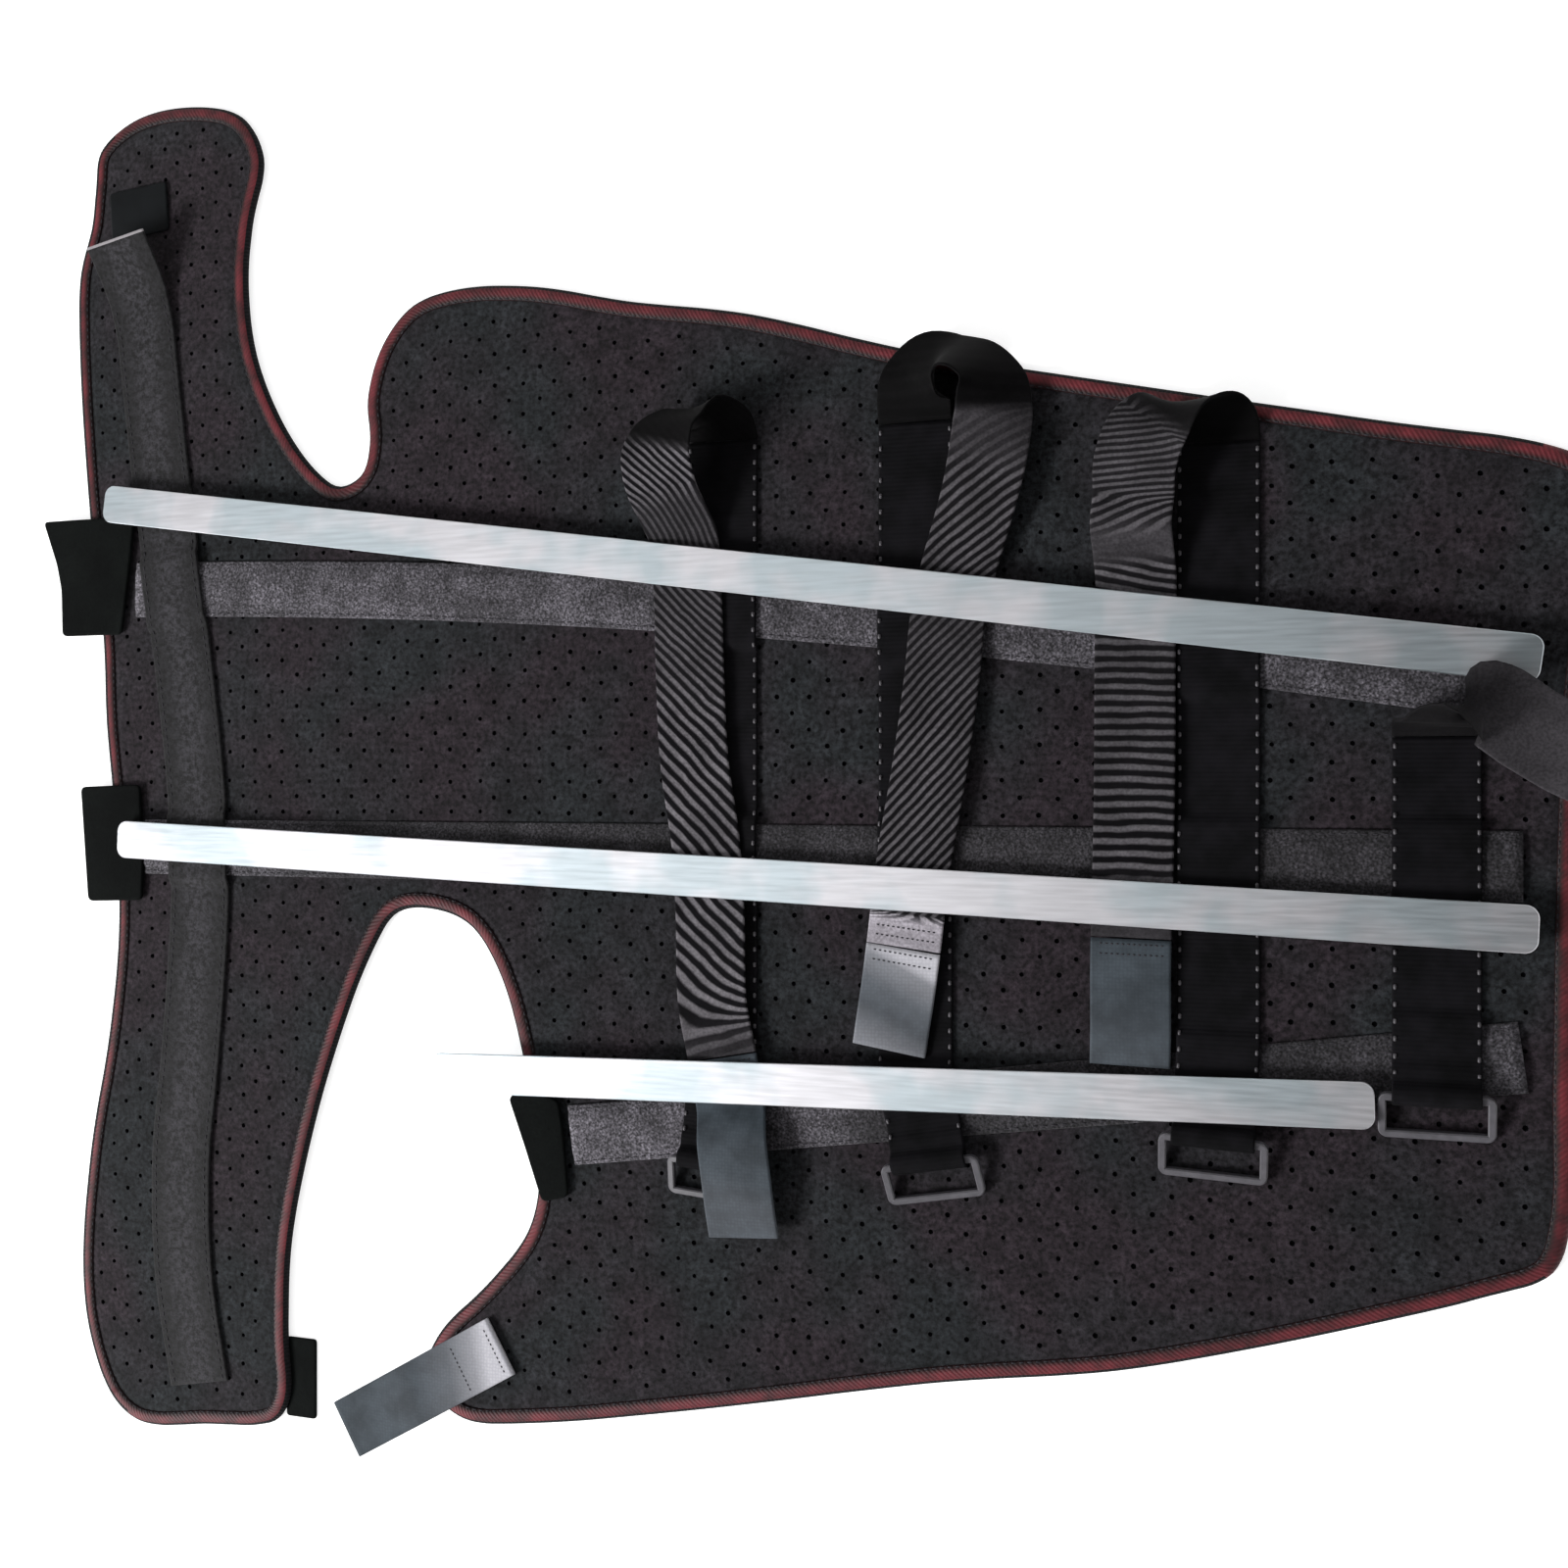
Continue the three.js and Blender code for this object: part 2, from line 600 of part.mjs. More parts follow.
function stayMiddle(stay) {
  if (!stay.besideRing) {
    return place('thigh', stay.along, stay.up);
  }
  const { along, top, veer } = STRAPS[stay.besideRing - 1];
  const ringMiddle = place('thigh', along, top).x + veer * WEBBING_WIDTH;
  const end = ringMiddle - RING_WIDTH / 2 - STAY_TO_RING;
  const reach = Math.cos(THREE.MathUtils.degToRad(stay.turn)) * stay.length / 2;
  return new THREE.Vector2(end - reach, stay.up * THIGH_HEIGHT);
}

function makeStays() {
  for (const stay of STAYS) {
    const blank = roundedPlate(stay.length, STAY_WIDTH, STAY_CORNER, STAY_THICKNESS, STAY_EDGE);
    const mesh = addPiece(`stay_${stay.name}`, extrudeRounded(blank), ALUMINIUM);
    const middle = stayMiddle(stay);
    mesh.position.set(middle.x, middle.y, stayLie);
    mesh.rotation.z = THREE.MathUtils.degToRad(stay.turn);
  }
}

// The loop tape down the hip band steps over the sleeves and lifts at its top end
function makeBandStrip() {
  const route = new THREE.CatmullRomCurve3(STRIP.map((row) => {
    const at = place('band', row.along, row.up);
    return new THREE.Vector3(at.x, -at.y, row.lift * STRIP_LIFT);
  }), false, 'centripetal');
  const samples = route.getPoints(STRIP.length * SAMPLES_PER_SPAN);
  const routeAt = (s) => {
    const next = Math.max(samples.findIndex((point) => point.y >= s), 1);
    const a = samples[next - 1];
    const b = samples[next];
    return a.clone().lerp(b, (s - a.y) / (b.y - a.y));
  };
  const obstacles = [];
  for (const pocket of POCKETS) {
    const crossing = routeAt(-pocketLine(pocket).heightAt(BAND_WIDTH / 2));
    const found = pocketObstacle(pocket, crossing.x, STRIP_WIDTH);
    if (found) {
      obstacles.push({ start: -found.end, end: -found.start, top: found.top });
    }
  }
  const from = samples[0].y;
  const to = samples[samples.length - 1].y;
  const steps = layOver(from, to, SHEET_THICKNESS, obstacles);
  const runs = samples.map((point) => point.y).concat(steps.map((step) => step.s));
  runs.sort((a, b) => a - b);
  const kept = runs.filter((s, i) => i === 0 || s - runs[i - 1] > GAP);
  const points = kept.map((s) => {
    const at = routeAt(s);
    const next = Math.max(steps.findIndex((step) => step.s >= s), 1);
    const a = steps[next - 1];
    const b = steps[next];
    const height = a.height + (b.height - a.height) * (s - a.s) / (b.s - a.s);
    return new THREE.Vector3(at.x, -at.y, height + GAP + STRIP_THICKNESS / 2 + at.z);
  });
  const frames = framesAlong(points, levelWidths(points));
  addPiece('band_strip', sweep(flatSection(STRIP_WIDTH, STRIP_THICKNESS), frames), KNIT_TAPE);
}

function makeBandHooks() {
  const pad = addPiece(
    'band_hook_pad',
    new THREE.BoxGeometry(PAD_WIDTH, PAD_HEIGHT, PAD_THICKNESS),
    HOOK_TAPE,
  );
  const padPlace = place('band', PAD_PLACE.along, PAD_PLACE.up);
  pad.position.set(padPlace.x, padPlace.y, sheetLie + PAD_THICKNESS / 2);
  pad.rotation.z = THREE.MathUtils.degToRad(PAD_PLACE.turn);

  const tab = addPiece(
    'band_hook_tab',
    new THREE.BoxGeometry(HOOK_TAB_WIDTH, HOOK_TAB_HEIGHT, HOOK_TAB_THICKNESS),
    FLAP_CLOTH,
  );
  const tabPlace = place('band', HOOK_TAB_PLACE.along, HOOK_TAB_PLACE.up);
  tab.position.set(tabPlace.x + HOOK_TAB_WIDTH / 2 + STEP_MARGIN, tabPlace.y, HOOK_TAB_THICKNESS / 2);
}

// The height that a strap's eye sits on: the sheet, or a sleeve that it overlaps
function eyeGround(obstacles, ringY) {
  const under = obstacles.some(({ start, end }) => (
    ringY + EYE_LAP + STEP_RUN > start && ringY - eyeRadius < end
  ));
  return under ? pocketTop : SHEET_THICKNESS;
}

// A strap's base line on the sheet: up from the ring, veering near it
function basePlan(strap) {
  const top = place('thigh', strap.along, strap.top);
  const ring = new THREE.Vector2(
    top.x + strap.veer * WEBBING_WIDTH,
    strap.ringUp * THIGH_HEIGHT,
  );
  const veer = new THREE.Vector2(top.x - ring.x, VEER_RUN).normalize();
  const pointAt = (s) => {
    if (s < VEER_RUN) {
      return new THREE.Vector2(ring.x + veer.x * s, ring.y + veer.y * s);
    }
    return new THREE.Vector2(top.x, ring.y + veer.y * VEER_RUN + s - VEER_RUN);
  };
  const length = VEER_RUN + top.y - ring.y - veer.y * VEER_RUN;
  return { ring, veer, pointAt, length };
}

// Sewn webbing: folded under and round the ring's bar, then up over the sleeves
function makeBase(strap, number) {
  const plan = basePlan(strap);
  const obstacles = pocketObstacles(plan.pointAt(plan.length).x, WEBBING_WIDTH + STEP_MARGIN);
  const ground = eyeGround(obstacles, plan.ring.y);
  const half = WEBBING_THICKNESS / 2;
  const underMiddle = ground + GAP + half;
  const barMiddle = underMiddle + eyeRadius;
  const run = [{ s: EYE_LAP, z: underMiddle }];
  for (let i = 0; i <= EYE_SIDES; i++) {
    const angle = Math.PI * i / EYE_SIDES;
    run.push({ s: -Math.sin(angle) * eyeRadius, z: barMiddle - Math.cos(angle) * eyeRadius });
  }
  run.push({ s: RING_WIRE / 2 + EYE_PLAY, z: barMiddle + eyeRadius });
  const raised = obstacles.map(({ start, end, top }) => ({
    start: start - plan.ring.y,
    end: end - plan.ring.y,
    top,
  }));
  raised.push({ start: 0, end: EYE_LAP + GAP, top: underMiddle + half });
  const clearBar = RING_WIRE / 2 + STEP_RUN;
  for (const { s, height } of layOver(clearBar, plan.length, SHEET_THICKNESS, raised)) {
    run.push({ s, z: height + GAP + half });
  }
  const points = run.map(({ s, z }) => {
    const at = plan.pointAt(s);
    return new THREE.Vector3(at.x, at.y, z);
  });
  const widths = run.map(({ s }) => (s < VEER_RUN
    ? new THREE.Vector3(plan.veer.y, -plan.veer.x, 0)
    : new THREE.Vector3(1, 0, 0)));
  const frames = framesAlong(points, widths);
  const section = flatSection(WEBBING_WIDTH, WEBBING_THICKNESS);
  addPiece(`strap_base_${number}`, sweep(section, frames), WEBBING);
  makeRing(plan, barMiddle, number);
}

// A rectangular ring whose near bar runs through the eye and whose far bar rests lower
function makeRing(plan, barMiddle, number) {
  const outer = roundedPlate(RING_WIDTH, RING_DEPTH, RING_CORNER, RING_WIRE, RING_EDGE);
  const x = RING_WIDTH / 2 - RING_WIRE + RING_EDGE;
  const y = RING_DEPTH / 2 - RING_WIRE + RING_EDGE;
  outer.shape.holes.push(new THREE.Path([
    new THREE.Vector2(-x, -y),
    new THREE.Vector2(x, -y),
    new THREE.Vector2(x, y),
    new THREE.Vector2(-x, y),
  ]));
  const reach = RING_DEPTH - RING_WIRE;
  const geometry = extrudeRounded(outer).translate(0, -reach / 2, -RING_WIRE / 2);
  const ring = addPiece(`ring_${number}`, geometry, RING_PLASTIC);
  const drop = barMiddle - sheetLie - RING_WIRE / 2;
  ring.rotation.order = 'ZXY';
  ring.rotation.z = -Math.atan2(plan.veer.x, plan.veer.y);
  ring.rotation.x = Math.asin(drop / reach);
  ring.position.set(plan.ring.x, plan.ring.y, barMiddle);
}

// What a strap's free end rests on
const STRAP_LIE = { base: baseLie, floor: GAP };

// The free stretch of a strap: up off its base, round its loop and back down
function makeStrap(strap, number) {
  const top = place('thigh', strap.along, strap.top);
  const half = WEBBING_THICKNESS / 2;
  const rest = STRAP_LIE[strap.restsOn] + half;
  const start = { side: 0, up: strap.top + 2 * GAP / THIGH_HEIGHT, rise: 0, turn: 0, lean: 0 };
  const rows = [start, ...strap.loop].map((row) => ({
    ...row,
    z: sheetLie + half + row.rise * LOOP_RISE,
  }));
  const { turn } = rows[rows.length - 1];
  for (const row of strap.lie) {
    rows.push({ ...row, z: rest, turn, lean: 0 });
  }
  const at = (row) => new THREE.Vector3(
    top.x + row.side * WEBBING_WIDTH,
    row.up * THIGH_HEIGHT,
    row.z,
  );
  const middle = new THREE.CatmullRomCurve3(rows.map(at), false, 'centripetal');
  const angles = new THREE.CatmullRomCurve3(
    rows.map((row) => new THREE.Vector3(row.turn, row.lean, 0)),
    false,
    'catmullrom',
    0,
  );
  const bends = (strap.loop.length + 1) * SAMPLES_PER_SPAN;
  const spans = rows.length - 1;
  const points = [];
  const widths = [];
  for (let i = 0; i <= spans * SAMPLES_PER_SPAN; i++) {
    if (i > bends && i % SAMPLES_PER_SPAN !== 0) {
      continue;
    }
    const t = i / (spans * SAMPLES_PER_SPAN);
    const angle = angles.getPoint(t);
    const turned = THREE.MathUtils.degToRad(angle.x);
    const leaned = THREE.MathUtils.degToRad(angle.y);
    const point = middle.getPoint(t);
    point.z = Math.max(point.z, GAP + half);
    points.push(point);
    widths.push(new THREE.Vector3(
      Math.cos(turned) * Math.cos(leaned),
      Math.sin(turned) * Math.cos(leaned),
      Math.sin(leaned),
    ));
  }
  const section = flatSection(WEBBING_WIDTH, WEBBING_THICKNESS);
  addPiece(`strap_${number}`, sweep(section, framesAlong(points, widths)), WEBBING);
  makeTail(strap, number, at);
}

// The hook tape that ends a strap
function makeTail(strap, number, at) {
  const rest = STRAP_LIE[strap.restsOn] + TAIL_THICKNESS / 2;
  const end = at({ ...strap.lie[strap.lie.length - 1], z: rest });
  const rows = strap.tail.map((row) => at({ ...row, z: rest + row.rise * LOOP_RISE }));
  const before = at({ ...strap.lie[strap.lie.length - 2], z: rest });
  const start = end.clone().add(end.clone().sub(before).setLength(2 * GAP));
  const route = new THREE.CatmullRomCurve3([start, ...rows], false, 'centripetal');
  const points = route.getPoints(strap.tail.length * 2);
  const frames = framesAlong(points, levelWidths(points));
  const section = flatSection(WEBBING_WIDTH, TAIL_THICKNESS);
  addPiece(`strap_tail_${number}`, sweep(section, frames), HOOK_TAPE);
}

// The corner tab lies on the sheet's corner and droops to the surface past its edge
function makeCornerTab() {
  const middle = place('thigh', CORNER_TAB_PLACE.along, CORNER_TAB_PLACE.up);
  const turned = THREE.MathUtils.degToRad(CORNER_TAB_PLACE.turn);
  const high = bindingTop + GAP;
  const points = CORNER_TAB_ROWS.map(({ run, droop }) => new THREE.Vector3(
    middle.x + Math.cos(turned) * run * CORNER_TAB_LENGTH,
    middle.y + Math.sin(turned) * run * CORNER_TAB_LENGTH,
    high * (1 - droop) + CORNER_TAB_THICKNESS / 2,
  ));
  const frames = framesAlong(points, levelWidths(points));
  const section = flatSection(CORNER_TAB_WIDTH, CORNER_TAB_THICKNESS);
  addPiece('corner_tab', sweep(section, frames), HOOK_TAPE);
}

makePanel();
makeBinding();
makePockets();
makeFlaps();
makeStays();
makeBandStrip();
makeBandHooks();
STRAPS.forEach((strap, i) => {
  makeBase(strap, i + 1);
  makeStrap(strap, i + 1);
});
makeCornerTab();

// The origin is the middle of the wrap's underside
const box = new THREE.Box3().setFromObject(wrap, true);
wrap.position.set(-(box.min.x + box.max.x) / 2, -(box.min.y + box.max.y) / 2, -box.min.z);

export default wrap;
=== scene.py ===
import math
import random

import bmesh
import bpy
import numpy as np
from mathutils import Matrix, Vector
from mathutils.geometry import delaunay_2d_cdt


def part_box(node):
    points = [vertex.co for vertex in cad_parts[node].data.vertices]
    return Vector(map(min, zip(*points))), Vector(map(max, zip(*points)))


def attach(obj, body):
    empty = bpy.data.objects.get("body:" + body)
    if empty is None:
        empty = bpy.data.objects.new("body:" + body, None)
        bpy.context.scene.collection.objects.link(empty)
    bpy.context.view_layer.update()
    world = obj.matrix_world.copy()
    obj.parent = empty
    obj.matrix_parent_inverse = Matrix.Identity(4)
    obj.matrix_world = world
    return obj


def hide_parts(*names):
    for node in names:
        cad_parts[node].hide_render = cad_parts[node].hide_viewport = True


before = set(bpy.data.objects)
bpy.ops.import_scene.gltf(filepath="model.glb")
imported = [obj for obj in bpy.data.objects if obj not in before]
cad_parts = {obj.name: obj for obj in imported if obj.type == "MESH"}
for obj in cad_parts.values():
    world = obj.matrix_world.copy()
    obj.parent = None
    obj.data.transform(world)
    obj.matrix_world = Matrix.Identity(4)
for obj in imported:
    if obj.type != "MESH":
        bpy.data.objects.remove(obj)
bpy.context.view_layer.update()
root = "root"

# The sheet: 4 mm neoprene foam with a brushed polyester face, cut in one piece and
# punched on its inner side with small vent holes. It thins where the binding grips it.
# Sizes are in millimetres throughout.
MM = 0.001
OUTLINE_STEP = 3
SHEET_TOP = 4
HOLE_RADIUS = 1.1
HOLE_DEPTH = 1.7
HOLE_COLUMNS = 15.2
HOLE_ROWS = 7.2
HOLE_SIDES = 8
HOLE_TAPER = 0.72
random.seed(11)


def linear(code):
    """An sRGB hex colour as the linear RGBA that a socket takes."""
    parts = [int(code[i:i + 2], 16) / 255 for i in (1, 3, 5)]
    return [p / 12.92 if p <= 0.04045 else ((p + 0.055) / 1.055) ** 2.4 for p in parts] + [1]


def add_node(tree, kind, inputs=(), **settings):
    """Adds a shader node, sets its properties, and fills or links its inputs."""
    made = tree.nodes.new("ShaderNode" + kind)
    for key, value in settings.items():
        setattr(made, key, value)
    for socket, value in dict(inputs).items():
        if isinstance(value, bpy.types.NodeSocket):
            tree.links.new(value, made.inputs[socket])
        else:
            made.inputs[socket].default_value = value
    return made


def new_material(name):
    """A material, its emptied node tree, the place on the object and the free surface."""
    material = bpy.data.materials.new(name)
    material.use_nodes = True
    tree = material.node_tree
    tree.nodes.clear()
    output = tree.nodes.new("ShaderNodeOutputMaterial")
    place = add_node(tree, "TexCoord").outputs["Object"]
    return material, tree, place, output.inputs["Surface"]


def mottled(tree, place, size, spread, levels=(0, 1), **inputs):
    """A noise with features of a size in millimetres, its spread stretched to levels."""
    noise = add_node(tree, "TexNoise", {"Vector": place, "Scale": 1000 / size, **inputs})
    return add_node(tree, "MapRange", {
        "Value": noise.outputs["Fac"], "From Min": spread[0], "From Max": spread[1],
        "To Min": levels[0], "To Max": levels[1],
    }).outputs["Result"]


def wave(tree, along, length):
    """A sine that repeats every length, read along a tape in millimetres."""
    turn = add_node(tree, "Math", {0: along, 1: math.tau / length}, operation="MULTIPLY")
    return add_node(tree, "Math", {0: turn.outputs[0]}, operation="SINE").outputs[0]


def stored(tree, name):
    """The three parts of a vector that a mesh keeps at each of its points."""
    vector = add_node(tree, "Attribute", attribute_name=name).outputs["Vector"]
    return add_node(tree, "SeparateXYZ", {0: vector}).outputs


def welded(name):
    """A CAD node's mesh with its split corners joined again."""
    mesh = bmesh.new()
    mesh.from_mesh(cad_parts[name].data)
    bmesh.ops.remove_doubles(mesh, verts=mesh.verts, dist=1e-6)
    return mesh


def loops_of(edges):
    """The points of each closed run of edges, in order."""
    beside = {}
    for edge in edges:
        for a, b in (edge.verts, reversed(edge.verts)):
            beside.setdefault(a, []).append(b)
    loops = []
    while beside:
        start = next(iter(beside))
        loop, before, here = [start], None, start
        while True:
            ahead = [v for v in beside[here] if v is not before][0]
            if ahead is start:
                break
            loop.append(ahead)
            before, here = here, ahead
        for v in loop:
            del beside[v]
        loops.append(np.array([v.co[:] for v in loop]) / MM)
    return loops


def distances(points):
    """How far along a run of points each one lies."""
    return np.concatenate([[0], np.cumsum(np.linalg.norm(np.diff(points, axis=0), axis=1))])


def eased(rows, step, closed=False):
    """The rows read again every step along a smooth curve through them."""
    rows = np.asarray(rows, float)
    count = len(rows)
    if closed:
        rows = np.vstack([rows[-2:], rows, rows[:3]])
    runs = np.linalg.norm(np.diff(rows[:, :3], axis=0), axis=1)
    at = np.concatenate([[0], np.cumsum(runs)])
    rise = np.diff(rows, axis=0) / runs[:, None]
    slope = np.vstack([rise[:1], rise])
    weight = (runs[:-1] / (runs[:-1] + runs[1:]))[:, None]
    slope[1:-1] = rise[:-1] * (1 - weight) + rise[1:] * weight
    if not closed:
        cap = 3 * np.minimum(abs(rise[:-1]), abs(rise[1:]))
        same = rise[:-1] * rise[1:] > 0
        slope[1:-1] = np.where(same, np.clip(slope[1:-1], -cap, cap), 0)
    first, last = (at[2], at[count + 2]) if closed else (0, at[-1])
    wanted = np.linspace(first, last, max(int((last - first) / step), 1) + 1)
    wanted = wanted[:-1] if closed else wanted
    i = np.clip(np.searchsorted(at, wanted, "right") - 1, 0, len(runs) - 1)
    run = runs[i][:, None]
    s = (wanted - at[i])[:, None] / run
    return (
        (2 * s**3 - 3 * s**2 + 1) * rows[i]
        + (s**3 - 2 * s**2 + s) * run * slope[i]
        + (3 * s**2 - 2 * s**3) * rows[i + 1]
        + (s**3 - s**2) * run * slope[i + 1]
    )


def add_piece(name, points, faces, materials, slot, *nodes, smooth=True):
    """A mesh piece from points in millimetres that stands for CAD nodes."""
    mesh = bpy.data.meshes.new(name)
    mesh.from_pydata((np.asarray(points, float) * MM).tolist(), [], faces)
    for material in materials:
        mesh.materials.append(material)
    mesh.shade_smooth() if smooth else mesh.shade_flat()
    piece = bpy.data.objects.new(name, mesh)
    bpy.context.scene.collection.objects.link(piece)
    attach(piece, root)
    if nodes:
        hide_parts(*nodes)
    return piece


def area_of(loop):
    """The area inside a closed run of points, negative where the run goes clockwise."""
    ahead = np.roll(loop, -1, axis=0)
    return 0.5 * np.sum(loop[:, 0] * ahead[:, 1] - ahead[:, 0] * loop[:, 1])


def inward(loop):
    """Unit directions into the area that a closed run of points goes round."""
    heading = np.roll(loop, -1, axis=0) - np.roll(loop, 1, axis=0)
    side = np.stack([-heading[:, 1], heading[:, 0]], axis=1)
    return side / np.linalg.norm(side, axis=1)[:, None]


binding_mesh = welded("edge_binding")
under = {
    f for f in binding_mesh.faces
    if f.normal.z < -0.9 and f.calc_center_median().z < 0.1 * MM
}
rim = [e for e in binding_mesh.edges if len(under.intersection(e.link_faces)) == 1]
cut = max(loops_of(rim), key=lambda loop: abs(area_of(loop)))
cut = cut if area_of(cut) > 0 else cut[::-1]
binding_mesh.free()
outline = eased(cut, OUTLINE_STEP, closed=True)[:, :2]
outline_in = inward(outline)


def clear_of_edge(points, margin):
    """For each point, whether it lies inside the outline and at least margin from it."""
    ahead = np.roll(outline, -1, axis=0)
    x, y = points[:, :1], points[:, 1:]
    crossing = (outline[:, 1] > y) != (ahead[:, 1] > y)
    with np.errstate(divide="ignore", invalid="ignore"):
        meets = (ahead[:, 0] - outline[:, 0]) * (y - outline[:, 1]) / (ahead[:, 1] - outline[:, 1])
    within = np.sum(crossing & (x < meets + outline[:, 0]), axis=1) % 2 == 1
    away = np.hypot(x - outline[:, 0], y - outline[:, 1]).min(axis=1)
    return within & (away > margin)


# Distance in from the cut edge, and the heights of the sheet's two faces there
SHEET_RINGS = [(2.2, 3.1, 1.4), (5, 3.3, 1.2), (7.4, 3.75, 0.4), (9.6, SHEET_TOP, 0)]
ring_points = [outline + outline_in * inset for inset, _, _ in SHEET_RINGS]
box = np.array([outline.min(axis=0), outline.max(axis=0)])
lattice = []
for row in range(int((box[1, 1] - box[0, 1]) / HOLE_ROWS) + 1):
    for column in range(int((box[1, 0] - box[0, 0]) / HOLE_COLUMNS) + 1):
        shift = HOLE_COLUMNS / 2 * (row % 2)
        lattice.append([
            box[0, 0] + column * HOLE_COLUMNS + shift + random.uniform(-0.6, 0.6),
            box[0, 1] + row * HOLE_ROWS + random.uniform(-0.5, 0.5),
        ])
lattice = np.array(lattice)
holes = lattice[clear_of_edge(lattice, SHEET_RINGS[-1][0] + HOLE_RADIUS + 0.5)]
turns = [math.tau * k / HOLE_SIDES for k in range(HOLE_SIDES)]
corners = np.array([[math.cos(turn), math.sin(turn)] for turn in turns])
sizes = np.array([random.uniform(0.88, 1.1) for _ in holes]) * HOLE_RADIUS
mouths = holes[:, None] + corners * sizes[:, None, None]


def filled(rings, extra=()):
    """Triangles over the area inside the first ring, with the other points among them."""
    points = [Vector(p) for group in (*rings, *extra) for p in group]
    edge = list(range(len(rings[0])))
    lines, at = [], sum(len(ring) for ring in rings)
    for group in extra:
        lines += [(at + k, at + (k + 1) % len(group)) for k in range(len(group))]
        at += len(group)
    made = delaunay_2d_cdt(points, lines, [edge], 1, 1e-7)
    source = [ids[0] for ids in made[3]]
    return [tuple(source[v] for v in face) for face in made[2]]


around = len(outline)
flat_count = around * len(SHEET_RINGS)
top_faces = [
    face for face in filled(ring_points, mouths)
    if min(face) < flat_count or len({(v - flat_count) // HOLE_SIDES for v in face}) > 1
]
top_points = [
    (x, y, height)
    for ring, (_, height, _) in zip(ring_points, SHEET_RINGS) for x, y in ring
]
top_points += [(x, y, SHEET_TOP) for mouth in mouths for x, y in mouth]
floors = holes[:, None] + corners * (sizes * HOLE_TAPER)[:, None, None]
floor_start = len(top_points)
top_points += [(x, y, SHEET_TOP - HOLE_DEPTH) for floor in floors for x, y in floor]
hole_faces = []
for i in range(len(holes)):
    mouth, floor = flat_count + HOLE_SIDES * i, floor_start + HOLE_SIDES * i
    for k in range(HOLE_SIDES):
        a, b = k, (k + 1) % HOLE_SIDES
        hole_faces.append((mouth + a, mouth + b, floor + b, floor + a))
    hole_faces.append(tuple(floor + k for k in range(HOLE_SIDES)))
back_start = len(top_points)
back_points = [
    (x, y, height)
    for ring, (_, _, height) in zip(ring_points, SHEET_RINGS) for x, y in ring
]
back_faces = [tuple(back_start + v for v in reversed(face)) for face in filled(ring_points)]
side_faces = [
    (k, back_start + k, back_start + (k + 1) % around, (k + 1) % around)
    for k in range(around)
]

# Brushed polyester jersey on foam: matt, with a faint sheen from the brushed fibres.
# Its dye drifts between slate and plum over a hand's width, and the nap is 2 mm tufts.
jersey, tree, place, surface = new_material("brushed polyester jersey on neoprene")
drift = mottled(tree, place, 75, (0.4, 0.6), Detail=2)
dye = add_node(
    tree, "Mix", {0: drift, 6: linear("#17191b"), 7: linear("#1c171b")}, data_type="RGBA",
)
blotch = mottled(tree, place, 9, (0.3, 0.7), (0.6, 1.35), Detail=3, Roughness=0.6)
tufts = add_node(tree, "TexNoise", {
    "Vector": place, "Scale": 1000 / 2.2, "Detail": 3, "Roughness": 0.7,
})
nap = add_node(tree, "MapRange", {
    "Value": tufts.outputs["Fac"], "From Min": 0.36, "From Max": 0.66, "To Min": 0.3, "To Max": 1.9,
})
shade = add_node(tree, "Math", {0: blotch, 1: nap.outputs["Result"]}, operation="MULTIPLY")
colour = add_node(tree, "VectorMath", {
    0: dye.outputs[2], 1: shade.outputs[0],
}, operation="MULTIPLY")
relief = add_node(tree, "Bump", {
    "Height": tufts.outputs["Fac"], "Strength": 0.5, "Distance": 0.5 * MM,
})
cloth = add_node(tree, "BsdfPrincipled", {
    "Base Color": colour.outputs[0], "Roughness": 0.9, "Normal": relief.outputs[0],
    "Sheen Weight": 0.04, "Sheen Roughness": 0.5, "Specular IOR Level": 0.12,
})
tree.links.new(cloth.outputs[0], surface)

# Bare foam inside the punched holes: closed cells that give back hardly any light
foam, tree, place, surface = new_material("black neoprene foam, punched")
cells = add_node(tree, "TexNoise", {"Vector": place, "Scale": 1000 / 0.8})
cells = add_node(
    tree, "Mix",
    {0: cells.outputs["Fac"], 6: linear("#0b0b0e"), 7: linear("#16161a")}, data_type="RGBA",
)
rubber = add_node(tree, "BsdfPrincipled", {
    "Base Color": cells.outputs[2], "Roughness": 0.95, "Specular IOR Level": 0.1,
})
tree.links.new(rubber.outputs[0], surface)

sheet = add_piece(
    "neoprene_sheet", top_points + back_points, top_faces + side_faces + back_faces + hole_faces,
    [jersey, foam], "neoprene", "wrap_panel", smooth=False,
)
sheet.data.polygons.foreach_set(
    "material_index",
    [0] * (len(top_faces) + len(side_faces) + len(back_faces)) + [1] * len(hole_faces),
)
cut_area = area_of(outline) * MM**2

# The stay sleeves: fuzzy knitted tape, sewn to the sheet along both long edges and open
# at its left end. The tape stands off the sheet between its two seams.
SLEEVE_WIDTH = 26.6
SLEEVE_SEAM = 3.3
SLEEVE_TOP = 1.7
SLEEVE_STEP = 4
SEAM_PITCH, SEAM_GIRTH = 4, 0.5
SLEEVE_SEAM_OUT, SLEEVE_SEAM_UP = 1.6, 1.1
# Edges of the CAD mesh count as equally long within this
SAME_LENGTH = 6e-4
# How light each sleeve's pile is drawn at places along it in millimetres
SLEEVE_LIGHTNESS = {
    "upper": [(0, 1.1), (300, 1), (600, 0.9)],
    "middle": [(0, 1.1), (70, 1), (110, 0.4), (640, 0.35)],
    "lower": [(0, 1.5), (50, 1.2), (70, 0.5), (92, 0.5), (104, 1), (126, 0.9), (140, 0.35),
              (380, 0.4), (405, 1.1), (440, 1.2)],
}


